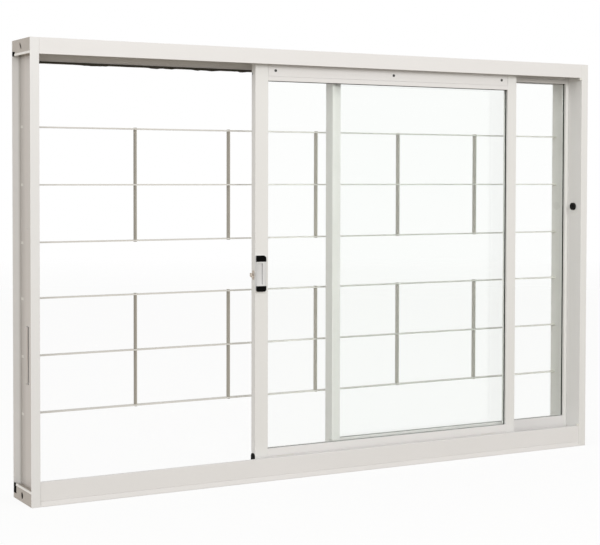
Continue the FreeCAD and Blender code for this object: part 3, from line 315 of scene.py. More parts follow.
def fray(piece: Piece, cuts: int, test: Test, axis: str, reach: float, size: float,
         **noise: float) -> None:
    """Cuts the edges along X into steps and moves some corners by a cloudy noise.

    Args:
        piece: The piece to shape.
        cuts: Number of cuts along it.
        test: A corner test: the corners that move.
        axis: X, Y or Z, the way they move.
        reach: How far they move at most.
        size: Size of the clouds.
        **noise: Further settings of the noise.
    """
    with editing(piece, "EDGE"):
        pick(piece, "EDGE", lambda at, run: abs(run.x) > ALONG)
        bpy.ops.mesh.subdivide(number_cuts=cuts)
    edge = piece.vertex_groups.new(name="edge")
    edge.add([corner.index for corner in piece.data.vertices
              if test(corner.co, corner.normal)], 1.0, "REPLACE")
    clouds = bpy.data.textures.new("clouds", "CLOUDS")
    clouds.noise_scale = size
    for name, value in noise.items():
        setattr(clouds, name, value)
    finish_with(piece, "DISPLACE", texture=clouds, texture_coords="GLOBAL", direction=axis,
                vertex_group=edge.name, mid_level=0.0, strength=reach)


def merge(name: str, pieces: Iterable[Piece]) -> Piece:
    """Joins several meshes into one piece.

    Args:
        name: Name of the joined piece.
        pieces: The meshes, which stop being pieces of their own.

    Returns:
        The joined piece.
    """
    pieces = list(pieces)
    deselect()
    for piece in pieces:
        piece.select_set(True)
    bpy.context.view_layer.objects.active = pieces[0]
    bpy.ops.object.join()
    pieces[0].name = pieces[0].data.name = name
    return pieces[0]


def node_box(node: str) -> tuple[Vector, Vector]:
    """The lowest and highest corner of a frame node."""
    low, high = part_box(node)
    return Vector(low), Vector(high)


@dataclass(frozen=True)
class Solid:
    """One loose solid of a frame node, as its corner points."""

    points: tuple[Vector, ...]

    @property
    def low(self) -> Vector:
        """Its lowest corner."""
        return Vector(min(point[axis] for point in self.points) for axis in range(3))

    @property
    def high(self) -> Vector:
        """Its highest corner."""
        return Vector(max(point[axis] for point in self.points) for axis in range(3))


def solids_of(node: str) -> list[Solid]:
    """The loose solids of a frame node, found by the corners that their faces share.

    Args:
        node: Name of the frame node.

    Returns:
        Its solids, from left to right.
    """
    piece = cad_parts[node]
    spots = [piece.matrix_world @ corner.co for corner in piece.data.vertices]
    keys = [tuple(round(value / WELD) for value in spot) for spot in spots]
    owner = {key: key for key in keys}

    def root(key: tuple) -> tuple:
        """Finds the corner that stands for a whole solid.

        Args:
            key: Any corner of the solid.

        Returns:
            The corner that stands for it.
        """
        while owner[key] != key:
            owner[key] = owner[owner[key]]
            key = owner[key]
        return key

    for edge in piece.data.edges:
        first, second = (root(keys[n]) for n in edge.vertices)
        owner[first] = second
    groups: dict[tuple, list[Vector]] = {}
    for key, spot in zip(keys, spots):
        groups.setdefault(root(key), []).append(spot)
    found = [Solid(tuple(points)) for points in groups.values()]
    return sorted(found, key=lambda solid: tuple(round(v, 5) for v in solid.low))


# ------------------------------------------------------------ material tools
def linear(colour: str) -> tuple[float, float, float, float]:
    """Turns an sRGB hex colour into a linear one, by the curve of IEC 61966-2-1.

    Args:
        colour: The colour, as a hash and six hex digits.

    Returns:
        Red, green and blue in linear light, and an alpha of one.
    """
    channels = (int(colour[n:n + 2], 16) / 255 for n in (1, 3, 5))
    curve = (c / 12.92 if c <= 0.04045 else ((c + 0.055) / 1.055) ** 2.4 for c in channels)
    return (*curve, 1.0)


def add_node(tree: Tree, kind: str, settings: Mapping | None = None,
             links: Mapping | None = None) -> bpy.types.Node:
    """Adds a node with its settings and links.

    Args:
        tree: The node tree of a material or of the world.
        kind: Blender's name for the node type.
        settings: Property names, or input names or numbers, with their values.
        links: Input names or numbers with the output socket that feeds each.

    Returns:
        The new node.
    """
    node = tree.nodes.new(kind)
    for name, value in (settings or {}).items():
        if isinstance(name, str) and hasattr(node, name):
            setattr(node, name, value)
        else:
            node.inputs[name].default_value = value
    for name, socket in (links or {}).items():
        tree.links.new(socket, node.inputs[name])
    return node


MIX_COLOURS = {"data_type": "RGBA"}
FACTOR, COLOUR_A, COLOUR_B, MIXED = 0, 6, 7, 2      # sockets of a colour mix


@dataclass(frozen=True)
class Brushwork:
    """What a finish paints with: a material's nodes and shader, and two readings of a place."""

    tree: Tree
    shader: bpy.types.Node
    place: Socket         # object coordinates
    drift: Socket         # a slow noise from 0 to 1

    def gate(self, axis: str, shut: float, full: float) -> Socket:
        """Makes a gate that opens as a place moves along an axis.

        Args:
            axis: X, Y or Z.
            shut: Where it is still shut.
            full: Where it is fully open.

        Returns:
            A socket that runs from 0, shut, to 1, open.
        """
        parts = add_node(self.tree, "ShaderNodeSeparateXYZ", None, {"Vector": self.place})
        return add_node(self.tree, "ShaderNodeMapRange", {"From Min": shut, "From Max": full},
                        {"Value": parts.outputs[axis]}).outputs["Result"]

    def cover(self, colour: str, *gates: Socket) -> None:
        """Lays a colour over the base colour, as far as every gate is open.

        Args:
            colour: An sRGB hex colour.
            *gates: Sockets that run from 0, shut, to 1, open.
        """
        share = gates[0]
        for gate in gates[1:]:
            share = add_node(self.tree, "ShaderNodeMath", {"operation": "MULTIPLY"},
                             {0: share, 1: gate}).outputs[0]
        base = self.shader.inputs["Base Color"]
        over = add_node(self.tree, "ShaderNodeMix", {**MIX_COLOURS, COLOUR_B: linear(colour)},
                        {FACTOR: share, COLOUR_A: base.links[0].from_socket})
        self.tree.links.new(over.outputs[MIXED], base)


@dataclass(frozen=True)
class Finish:
    """A surface: its colour, how rough it is and how that drifts from place to place."""

    name: str
    colour: str
    roughness: float
    metallic: float = 0.0
    ior: float = 1.5
    gloss: float = 0.5
    drift_colour: str = ""
    drift_size: float = 120 * MM
    rough_spread: float = 0.06
    grain_size: float = 1.2 * MM
    grain_depth: float = 0.02 * MM
    grain_strength: float = 0.2

    def make(self) -> bpy.types.Material:
        """Builds the material once and hands out the same one afterwards."""
        found = bpy.data.materials.get(self.name)
        return found if found else self.build()

    def build(self) -> bpy.types.Material:
        """Builds the shader: drifting colour and roughness, and a fine grain as bump.

        Returns:
            The new material.
        """
        material = bpy.data.materials.new(self.name)
        material.use_nodes = True
        tree = material.node_tree
        shader = tree.nodes["Principled BSDF"]
        shader.inputs["Metallic"].default_value = self.metallic
        if not self.metallic:
            shader.inputs["IOR"].default_value = self.ior
            shader.inputs["Specular IOR Level"].default_value = self.gloss
        place = add_node(tree, "ShaderNodeTexCoord").outputs["Object"]
        drift = add_node(tree, "ShaderNodeTexNoise",
                         {"Scale": 1 / self.drift_size, "Detail": 4.0, "Roughness": 0.6},
                         {"Vector": place}).outputs["Fac"]
        kit = Brushwork(tree, shader, place, drift)
        self.paint(kit)
        self.texture(kit)
        return material

    def paint(self, kit: Brushwork) -> None:
        """Feeds the colour and the roughness from the slow drift.

        Args:
            kit: What the finish paints with.
        """
        colours = add_node(kit.tree, "ShaderNodeMix",
                           {**MIX_COLOURS, COLOUR_A: linear(self.colour),
                            COLOUR_B: linear(self.drift_colour or self.colour)},
                           {FACTOR: kit.drift})
        kit.tree.links.new(colours.outputs[MIXED], kit.shader.inputs["Base Color"])
        self.dull(kit, kit.drift, 0.0, 1.0)

    def dull(self, kit: Brushwork, reading: Socket, low: float, high: float) -> None:
        """Feeds the roughness from a reading.

        Args:
            kit: What the finish paints with.
            reading: A socket, such as a noise.
            low: The reading at which the surface is smoothest.
            high: The reading at which it is roughest.
        """
        spread = add_node(kit.tree, "ShaderNodeMapRange",
                          {"From Min": low, "From Max": high,
                           "To Min": self.roughness - self.rough_spread,
                           "To Max": self.roughness + self.rough_spread}, {"Value": reading})
        kit.tree.links.new(spread.outputs["Result"], kit.shader.inputs["Roughness"])

    def texture(self, kit: Brushwork) -> None:
        """Feeds the fine grain into the normal.

        Args:
            kit: What the finish paints with.
        """
        grain = add_node(kit.tree, "ShaderNodeTexNoise",
                         {"Scale": 1 / self.grain_size, "Detail": 2.0}, {"Vector": kit.place})
        bump = add_node(kit.tree, "ShaderNodeBump",
                        {"Strength": self.grain_strength, "Distance": self.grain_depth},
                        {"Height": grain.outputs["Fac"]})
        kit.tree.links.new(bump.outputs["Normal"], kit.shader.inputs["Normal"])


@dataclass(frozen=True)
class PowderCoat(Finish):
    """Polyester powder coat on an extruded aluminium bar.

    It flows out almost smooth, with a fine orange peel that only shows in a highlight, and
    handling leaves faint dull smears along the bar.
    """

    smear_length: float = 180 * MM
    smear_width: float = 14 * MM
    smear_start: float = 0.35
    smear_full: float = 0.75
    upright: bool = False

    def paint(self, kit: Brushwork) -> None:
        """Feeds the drifting colour, and dulls the coat in long smears.

        Args:
            kit: What the finish paints with.
        """
        super().paint(kit)
        along, across = 1 / self.smear_length, 1 / self.smear_width
        stretch = (across, across, along) if self.upright else (along, across, across)
        smeared = add_node(kit.tree, "ShaderNodeMapping", {"Scale": stretch},
                           {"Vector": kit.place})
        smears = add_node(kit.tree, "ShaderNodeTexNoise", {"Scale": 1.0, "Detail": 5.0},
                          {"Vector": smeared.outputs["Vector"]})
        self.dull(kit, smears.outputs["Fac"], self.smear_start, self.smear_full)


@dataclass(frozen=True)
class ChannelCoat(PowderCoat):
    """Powder coat with painted shade deep in a channel: darker and a little pink there.

    A darker painted shade lies in the channel's rear corner and fades out along the web and the
    flange.
    """

    # Colours of painted shade: inside the channel, and darker in its rear corner.
    channel_shade_colour: str = "#C9C2BC"
    corner_shade_colour: str = "#B2AEA9"
    channel_x: float = -731.0 * MM
    lip: float = 0.6 * MM
    front: float = -61.0 * MM
    rear: float = 60.5 * MM
    back: float = 61.8 * MM
    corner_shade_on_flange: float = 6.0 * MM
    corner_shade_on_web: float = 34.0 * MM

    def paint(self, kit: Brushwork) -> None:
        """Feeds the drifting colour, with painted shade on the outer side of the web and in the
        rear corner.

        Args:
            kit: What the finish paints with.
        """
        super().paint(kit)
        outside = kit.gate("X", self.channel_x, self.channel_x - self.lip)
        inside = kit.gate("Y", self.front - self.lip, self.front)
        before = kit.gate("Y", self.rear, self.rear - self.lip)
        within = kit.gate("Y", self.back, self.back - self.lip)
        # Painted shade: a darker, warmer colour on the web's outer face inside the channel.
        kit.cover(self.channel_shade_colour, outside, inside, before)
        # Painted shade in the channel's rear corner: darker there, fading out along the flange and
        # the web.
        fall = Vector((-1 / self.corner_shade_on_flange, -1 / self.corner_shade_on_web, 0))
        corner = fall.dot(Vector((self.channel_x - self.lip, self.back - self.lip, 0)))
        spread = add_node(kit.tree, "ShaderNodeVectorMath", {"operation": "DOT_PRODUCT", 1: fall},
                          {0: kit.place})
        corner_shade = add_node(kit.tree, "ShaderNodeMapRange",
                        {"From Min": corner + 1, "From Max": corner},
                        {"Value": spread.outputs["Value"]})
        kit.cover(self.corner_shade_colour, corner_shade.outputs["Result"], outside, within)


@dataclass(frozen=True)
class LippedPlastic(Finish):
    """Moulded plastic with a painted highlight, a paler colour, along the lips at the two ends of
    a jamb.
    """

    lip_highlight_colour: str = "#EFECE8"
    middle: float = 500.0 * MM
    reach: float = 471.4 * MM
    edge: float = 0.3 * MM

    def paint(self, kit: Brushwork) -> None:
        """Feeds the drifting colour, with a painted highlight, paler, between the two heights of
        the lips.

        Args:
            kit: What the finish paints with.
        """
        super().paint(kit)
        height = add_node(kit.tree, "ShaderNodeSeparateXYZ", None, {"Vector": kit.place})
        offset = add_node(kit.tree, "ShaderNodeMath", {"operation": "SUBTRACT", 1: self.middle},
                          {0: height.outputs["Z"]})
        away = add_node(kit.tree, "ShaderNodeMath", {"operation": "ABSOLUTE"},
                        {0: offset.outputs[0]})
        # Painted highlight on the lips of the plates.
        lips = add_node(kit.tree, "ShaderNodeMapRange",
                        {"From Min": self.reach, "From Max": self.reach - self.edge},
                        {"Value": away.outputs[0]})
        kit.cover(self.lip_highlight_colour, lips.outputs["Result"])


@dataclass(frozen=True)
class RecessedPlastic(Finish):
    """Moulded plastic with painted shade, a greyer colour, where it is scooped out."""

    scoop_shade_colour: str = "#D6D6D6"
    face: float = -48.9 * MM
    depth: float = 0.5 * MM

    def paint(self, kit: Brushwork) -> None:
        """Feeds the drifting colour, with painted shade behind the front face."""
        super().paint(kit)
        kit.cover(self.scoop_shade_colour, kit.gate("Y", self.face, self.face + self.depth))


@dataclass(frozen=True)
class FloatGlass(Finish):
    """Clear float glass: colourless face on, with a faint green body, and it mirrors a little."""

    shade: str = "#D9DDD9"

    def build(self) -> bpy.types.Material:
        """Builds the glass, which lets lamplight through to what stands behind it.

        Returns:
            The new material.
        """
        material = bpy.data.materials.new(self.name)
        material.use_nodes = True
        tree = material.node_tree
        shader = tree.nodes["Principled BSDF"]
        for name, value in (("Base Color", linear(self.colour)), ("Roughness", self.roughness),
                            ("IOR", self.ior), ("Transmission Weight", 1.0)):
            shader.inputs[name].default_value = value
        shadow = add_node(tree, "ShaderNodeLightPath").outputs["Is Shadow Ray"]
        clear = add_node(tree, "ShaderNodeBsdfTransparent", {"Color": linear(self.shade)})
        mix = add_node(tree, "ShaderNodeMixShader", None,
                       {0: shadow, 1: shader.outputs["BSDF"], 2: clear.outputs["BSDF"]})
        tree.links.new(mix.outputs["Shader"], tree.nodes["Material Output"].inputs["Surface"])
        return material


BRUSHED = {"grain_size": 2.5 * MM, "grain_strength": 0.35, "grain_depth": 0.05 * MM}
SPARKED = {"drift_size": 14 * MM, "grain_size": 0.5 * MM, "grain_strength": 0.2}


class Finishes:
    """Every finish of the window, named for the real material."""

    # White polyester powder coat: warm white, satin, almost no texture at arm's length.
    level_coat = PowderCoat("white_powder_coat_level", "#E9E7E6", 0.42, drift_colour="#E4E2E0")
    upright_coat = PowderCoat("white_powder_coat_upright", "#E8E7E5", 0.42,
                              drift_colour="#E4E3E0", upright=True)
    # The left jamb, with painted shade on the faces inside its channel, that are built in, and a
    # darker painted shade in its rear corner.
    jamb_coat = ChannelCoat("white_powder_coat_painted_shade_in_channel", "#E8E7E6", 0.42,
                            drift_colour="#E4E3E1", upright=True)
    # Brushed-on satin lacquer over hot-rolled flat steel: a little greyer and rougher.
    bar_lacquer = PowderCoat("satin_lacquer_on_flat_steel", "#E0DED9", 0.5,
                             drift_colour="#D4D1CB", **BRUSHED)
    # The uprights: the same lacquer with painted shade, much darker, for the shade on their sides.
    upright_lacquer_shaded = PowderCoat("satin_lacquer_on_flat_steel_upright_painted_shade", "#B4AFA4", 0.5,
                                 drift_colour="#A39D91", upright=True, **BRUSHED)
    # Extruded EPDM rubber: matt black with a faint grey bloom.
    rubber = Finish("epdm_rubber", "#121211", 0.78, gloss=0.15, drift_colour="#20201E",
                    drift_size=30 * MM, grain_size=0.6 * MM, grain_strength=0.4)
    # Moulded nylon from a spark-eroded tool: an even fine grain.
    black_nylon = Finish("moulded_black_nylon", "#060606", 0.5, gloss=0.03, drift_colour="#0A0A09",
                         drift_size=20 * MM, grain_size=0.5 * MM, grain_strength=0.35)
    white_nylon = Finish("moulded_white_nylon", "#E6E5DF", 0.48, drift_colour="#DBD9D1",
                         drift_size=20 * MM, grain_size=0.5 * MM, grain_strength=0.25)
    # The corner plates: beige nylon, with a painted highlight along their lips.
    plate_nylon = LippedPlastic("moulded_beige_nylon", "#B9B1A9", 0.5, drift_colour="#AFA79E",
                                drift_size=25 * MM, grain_size=0.6 * MM, grain_strength=0.3)
    # Closed-cell polyethylene foam: dull black with small open pores where it is cut; put behind
    # the left corner plates as painted shade.
    foam = Finish("black_foam_painted_shade", "#0B0B0A", 0.9, gloss=0.03, drift_colour="#141413",
                  drift_size=6 * MM, grain_size=0.8 * MM, grain_strength=0.8,
                  grain_depth=0.2 * MM)
    # Dark sponge rubber, frayed: a strip that also stands in as painted shade for the shade inside
    # the head.
    sponge = Finish("dark_sponge_painted_shade", "#55514B", 0.85, gloss=0.1, drift_colour="#45423D",
                    drift_size=18 * MM, grain_size=0.8 * MM, grain_strength=0.6,
                    grain_depth=0.15 * MM)
    # Moulded grey acetal: slippery, with a soft sheen from the thumb.
    acetal = Finish("moulded_grey_acetal", "#DADADA", 0.36, drift_colour="#CFCFCF", **SPARKED)
    # The thumb slider: paler acetal, with painted shade in its scoop and its groove.
    scooped_acetal = RecessedPlastic("moulded_grey_acetal_scooped", "#F0F0EF", 0.36,
                                     drift_colour="#E8E8E7", **SPARKED)
    # Zinc-plated steel: grey metal with a cloudy passivated bloom.
    zinc = Finish("zinc_plated_steel", "#A9ABAC", 0.36, metallic=1.0, drift_colour="#8E9092",
                  drift_size=6 * MM, grain_size=0.4 * MM, grain_strength=0.3)
    # Phosphated steel screws: dark grey and matt.
    phosphated = Finish("phosphated_steel", "#5A5A58", 0.55, metallic=1.0,
                        drift_colour="#484846", drift_size=5 * MM, grain_size=0.4 * MM,
                        grain_strength=0.4)
    # Lacquered zinc casting: warm off-white, softly pitted by the mould.
    cast_zinc = Finish("lacquered_zinc_casting", "#CFC5BB", 0.5, drift_colour="#C4B8AC",
                       drift_size=8 * MM, grain_size=1.0 * MM, grain_strength=0.4)
    # Woven polypropylene pile: dark grey and fuzzy.
    pile = Finish("polypropylene_pile", "#4A4A48", 0.9, drift_colour="#5C5C59",
                  drift_size=3 * MM, grain_size=0.4 * MM, grain_strength=0.9,
                  grain_depth=0.3 * MM)
    # Clear float glass, flat from the tin bath: it mirrors a little and dims what it covers.
    glass = FloatGlass("clear_float_glass", "#FDFEFD", 0.0)


def dress(node: str, finish: Finish) -> None:
    """Gives a frame node its finish.

    Args:
        node: Name of the frame node.
        finish: Its finish.
    """
    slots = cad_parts[node].data.materials
    slots.clear()
    slots.append(finish.make())
    log.info("%s: %s", node, finish.name)


def place(piece: Piece, body: Body, slot: str, finish: Finish,
          *nodes: str) -> None:
    """Dresses a new piece, puts it on its body and lets it stand for frame nodes.

    Args:
        piece: The new piece.
        body: The body that it rides on.
        slot: Not used.
        finish: Its finish.
        *nodes: The frame nodes that it stands for.
    """
    piece.data.materials.clear()
    piece.data.materials.append(finish.make())
    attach(piece, body.value)
    if nodes:
        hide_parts(*nodes)
    log.info("%s: %s, %s, %d faces", piece.name, body.value, finish.name,
             len(piece.data.polygons))


# ------------------------------------------------------------------- screws
@dataclass
class CrossScrew:
    """A cross-recess screw, modelled once and set in every seat of a node."""

    head_radius: float = 3.2 * MM
    head_height: float = 1.4 * MM
    head_sides: int = 32
    dome: float = 0.45
    slot_length: float = 3.6 * MM
    slot_width: float = 0.9 * MM
    slot_depth: float = 0.9 * MM
    rim_share: float = 0.95
    core: float = 1.3 * MM
    core_sides: int = 16
    thread: float = 0.45 * MM
    thread_steps: int = 12
    pitch: float = 1.4 * MM
    turns: int = 34

    def head(self) -> Piece:
        """Makes a domed head over the origin, with a cross sunk in its crown.

        Returns:
            The head.
        """
        height = Vector((0, 0, self.head_height))
        head = start_disc("screw_head", height / 2, self.head_radius, self.head_height, Z,
                          self.head_sides)
        round_off(head, lambda middle, run: middle.z > self.head_height - WELD,
                  self.head_height * self.dome, segments=4)
        reach = Vector((self.slot_length, self.slot_width, 2 * self.slot_depth)) / 2
        arms = [start_block("cross", height - size, height + size) for size in (reach, reach.yxz)]
        for arm in arms:
            finish_with(head, "BOOLEAN", operation="DIFFERENCE", object=arm, solver="EXACT")
            discard(arm)
        return head

    def shank(self) -> Piece:
        """Makes a core below the origin with a thread wound round it.

        Returns:
            The shank.
        """
        length = self.pitch * self.turns
        core = start_disc("screw_core", Vector((0, 0, -length / 2)), self.core, length, Z,
                          self.core_sides)
        deselect()
        bpy.ops.mesh.primitive_circle_add(vertices=3, radius=self.thread, fill_type="NOTHING",
                                          location=(self.core, 0, -length),
                                          rotation=(math.pi / 2, 0, 0))
        ridge = settled("screw_thread")
        finish_with(ridge, "SCREW", screw_offset=self.pitch, iterations=self.turns - 1,
                    steps=self.thread_steps, render_steps=self.thread_steps)
        return merge("screw_shank", [core, ridge])

    def fill(self, node: str, body: Body, finish: Finish) -> None:
        """Sets one screw in each seat of a node.

        Args:
            node: The frame node with the plain screws.
            body: The body that they ride on.
            finish: Their finish.
        """
        pattern = merge("screw", [self.head(), self.shank()])
        pieces = [self.seat(pattern, solid) for solid in solids_of(node)]
        discard(pattern)
        screws = merge(f"{node}_cross_recess", pieces)
        bpy.ops.object.shade_smooth_by_angle(angle=SHARP)
        place(screws, body, "zinc_steel", finish, node)

    def seat(self, pattern: Piece, solid: Solid) -> Piece:
        """Copies the screw into one seat, cut to length.

        Args:
            pattern: The screw over the origin, head up.
            solid: The plain screw whose place it takes.

        Returns:
            The screw in its seat.
        """
        low, high = solid.low, solid.high
        size = high - low
        axis = max(range(3), key=lambda n: size[n])
        across = [n for n in range(3) if n != axis]
        middle = (low + high) / 2
        radius = size[across[0]] / 2
        reach = [math.hypot(*(point[n] - middle[n] for n in across)) for point in solid.points]
        rim = [point[axis] for point, far in zip(solid.points, reach)
               if far > self.rim_share * radius]
        sign = 1 if sum(rim) / len(rim) > middle[axis] else -1
        scale = radius / self.head_radius
        way = Vector((0, 0, 0))
        way[axis] = sign
        under = middle.copy()
        under[axis] = (high if sign > 0 else low)[axis] - sign * self.head_height * scale
        shank = size[axis] / scale - self.head_height
        turn = Vector((0, 0, 1)).rotation_difference(way).to_matrix().to_4x4()
        screw = pattern.copy()
        screw.data = pattern.data.copy()
        bpy.context.scene.collection.objects.link(screw)
        with editing(screw):
            bpy.ops.mesh.select_all(action="SELECT")
            bpy.ops.mesh.bisect(plane_co=(0, 0, -shank), plane_no=(0, 0, -1), use_fill=True,
                                clear_outer=True)
        screw.data.transform(Matrix.Translation(under) @ turn @ Matrix.Scale(scale, 4))
        return screw


# ------------------------------------------------------------- outer frame
@dataclass
class OuterFrame:
    """Jambs, head, sill and what is fixed to them."""

    levels: tuple[str, ...] = ("head", "sill")
    plates: tuple[str, ...] = ("top_left_corner_plate", "top_right_corner_plate",
                               "bottom_left_corner_plate", "bottom_right_corner_plate")
    # The dark strip under the head's rear wall, which also serves as painted shade: its steps, its
    # tear and its lip.
    shade_strip_steps: int = 240
    shade_strip_tear: float = 5.4 * MM
    shade_strip_tear_size: float = 42 * MM
    shade_strip_tear_depth: int = 3
    shade_strip_tear_contrast: float = 2.4
    shade_strip_lip: float = 0.45
    shade_strip_thin: float = 0.9 * MM
    ring_width: float = 1.6 * MM
    ring_rise: float = 0.7 * MM
    dimple_inset: float = 2.4 * MM
    dimple_depth: float = 1.1 * MM
    bumper_edge: float = 0.35 * MM
    stem_share: float = 0.4
    # Black foam behind the left corner plates: painted shade for the cavities behind them.
    shade_pad_gap: tuple[float, float, float] = (0.5 * MM, 0.3 * MM, 0.3 * MM)
    shade_pad_face: float = 2.2 * MM
    shade_pad_depth: float = 4.0 * MM
    shade_pad_round: float = 0.3 * MM
    shade_pad_crush: float = 0.4 * MM
    notch_width: float = 15.4 * MM
    notch_heights: tuple[float, float] = (21.4 * MM, 9.4 * MM)
    plate_lip: float = 7.0 * MM

    def build(self) -> None:
        """Dresses the bars and adds the bumper, the screws, a dark strip under the head and black
        foam behind the plates, the last two as painted shade.
        """
        dress("left_jamb", Finishes.jamb_coat)
        dress("masonry_straps", Finishes.jamb_coat)
        dress("right_jamb", Finishes.upright_coat)
        for node in self.levels:
            dress(node, Finishes.level_coat)
        for node in self.plates:
            dress(node, Finishes.plate_nylon)
        dress("strike_plate", Finishes.zinc)
        dress("corner_blocks", Finishes.white_nylon)
        for node in ("strike_screws", "frame_corner_screws"):
            CrossScrew().fill(node, Body.FRAME, Finishes.zinc)
        self.bumper()
        self.sealing_strip()
        self.shade_pads()

    def bumper(self) -> None:
        """Adds a rubber button with a raised rim, a dimple and a stem through the jamb."""
        low, high = node_box("jamb_bumper")
        wall = node_box("right_jamb")[0]
        middle = (low + high) / 2
        radius = (high.z - low.z) / 2
        head = start_disc("bumper", Vector(((low.x + wall.x) / 2, middle.y, middle.z)),
                          radius, wall.x - low.x, X)
        left = facing(Side.LEFT)
        sink(head, left, self.ring_width, (self.ring_rise, 0, 0))
        sink(head, lambda at, normal: left(at, normal)
             and (at - middle).yz.length < self.ring_width, self.dimple_inset,
             (self.dimple_depth, 0, 0))
        sink(head, facing(Side.RIGHT), radius * (1 - self.stem_share), (high.x - wall.x, 0, 0))
        soften(head, self.bumper_edge)
        place(head, Body.FRAME, "black_rubber", Finishes.rubber, "jamb_bumper")

    def sealing_strip(self) -> None:
        """Adds a dark rubber strip with a thick heel and a thin lip torn along its edge, which
        also stands in as painted shade inside the head.
        """
        low, high = node_box("head_sealing_strip")
        # Painted shade: a dark strip that stands in for the shade inside the head.
        strip = start_block("torn_shade_strip", low, high)
        score(strip, (0, 0, low.z + (high.z - low.z) * self.shade_strip_lip), (0, 0, 1))
        push(strip, lambda at, normal: at.z < low.z + WELD and at.y < low.y + WELD,
             (0, self.shade_strip_thin, 0))
        fray(strip, self.shade_strip_steps, lambda at, normal: at.z < low.z + WELD, "Z",
             self.shade_strip_tear, self.shade_strip_tear_size, noise_depth=self.shade_strip_tear_depth,
             contrast=self.shade_strip_tear_contrast)
        bpy.ops.object.shade_smooth_by_angle(angle=SHARP)
        place(strip, Body.FRAME, "black_rubber", Finishes.sponge, "head_sealing_strip")

    def shade_pads(self) -> None:
        """Adds black foam behind the plates of the left jamb, with a lug that fills each notch, as
        painted shade for the dark cavities there.
        """
        pads = []
        for node, upwards in (("bottom_left_corner_plate", True),
                              ("top_left_corner_plate", False)):
            low, high = node_box(node)
            low, high = low + Vector(self.shade_pad_gap), high - Vector(self.shade_pad_gap)
            face = low.x + self.shade_pad_face
            if upwards:
                foot, top = low.z, high.z - self.plate_lip
                notch = (high.z - self.notch_heights[0], high.z)
            else:
                foot, top = low.z + self.plate_lip, high.z
                notch = (low.z, low.z + self.notch_heights[1])
            pad = start_block("pad", Vector((face, low.y, foot)),
                              Vector((face + self.shade_pad_depth, high.y, top)))
            lug = start_block("lug", Vector((low.x, high.y - self.notch_width, notch[0])),
                              Vector((face, high.y, notch[1])))
            sink(lug, facing(Side.LEFT), self.shade_pad_crush, (self.shade_pad_crush, 0, 0))
            pads += [pad, lug]
        # Painted shade: black pads that darken what shows through each plate and its notch.
        foam = merge("channel_shade_foam", pads)
        soften(foam, self.shade_pad_round, segments=2)
        place(foam, Body.FRAME, "black_rubber", Finishes.foam)


@dataclass
class Grille:
    """Flat security bars, their uprights and the bushes in the jambs."""

    bars: int = 6
    uprights: int = 5

    def build(self) -> None:
        """Dresses the bars, the uprights and the bushes."""
        for n in range(1, self.bars + 1):
            dress(f"grille_bar_{n}", Finishes.bar_lacquer)
        for row in ("upper", "lower"):
            for n in range(1, self.uprights + 1):
                dress(f"{row}_upright_{n}", Finishes.upright_lacquer_shaded)
        dress("bar_bushes", Finishes.white_nylon)


@dataclass
class GlazedLeaf:
    """One glazed leaf: four bars, the pane and its gasket."""

    name: str
    body: Body
    stiles: tuple[str, str]
    hang: float
    lip_round: float = 0.7 * MM
    root_depth: float = 2.5 * MM

    def build(self) -> None:
        """Dresses the bars and the pane, and adds the gasket and the screws."""
        for node in self.stiles:
            dress(node, Finishes.upright_coat)
        for node in ("top_rail", "bottom_rail"):
            dress(f"{self.name}_{node}", Finishes.level_coat)
        dress(f"{self.name}_glass", Finishes.glass)
        CrossScrew().fill(f"{self.name}_leaf_screws", self.body, Finishes.zinc)
        self.gasket()

    def gasket(self) -> None:
        """Adds a rubber channel round the pane, with a rounded lip on each side of it."""
        node = f"{self.name}_gasket"
        low, high = node_box(node)
        pane_low, pane_high = node_box(f"{self.name}_glass")
        width = node_box(self.stiles[0])[1].x - low.x
        lips = []
        for side, y0, y1 in ((-1, low.y, pane_low.y), (1, pane_high.y, high.y)):
            lip = ring_round("lip", Vector((low.x, y0, low.z)), Vector((high.x, y1, high.z)),
                             width)
            outer = y0 if side < 0 else y1
            inner_top = high.z - width - WELD
            push(lip, lambda at, normal: inner_top < at.z < high.z - WELD
                 and low.x + WELD < at.x < high.x - WELD, (0, 0, -self.hang))
            round_off(lip, lambda at, run: abs(at.y - outer) < WELD
                      and low.x + WELD < at.x < high.x - WELD
                      and low.z + WELD < at.z < high.z - WELD, self.lip_round, segments=4)
            lips.append(lip)
        root = ring_round("root", Vector((low.x, pane_low.y, low.z)),
                          Vector((high.x, pane_high.y, high.z)), self.root_depth)
        channel = merge(f"{node}_channel", lips + [root])
        bpy.ops.object.shade_smooth_by_angle(angle=SHARP)
        place(channel, self.body, "black_rubber", Finishes.rubber, node)


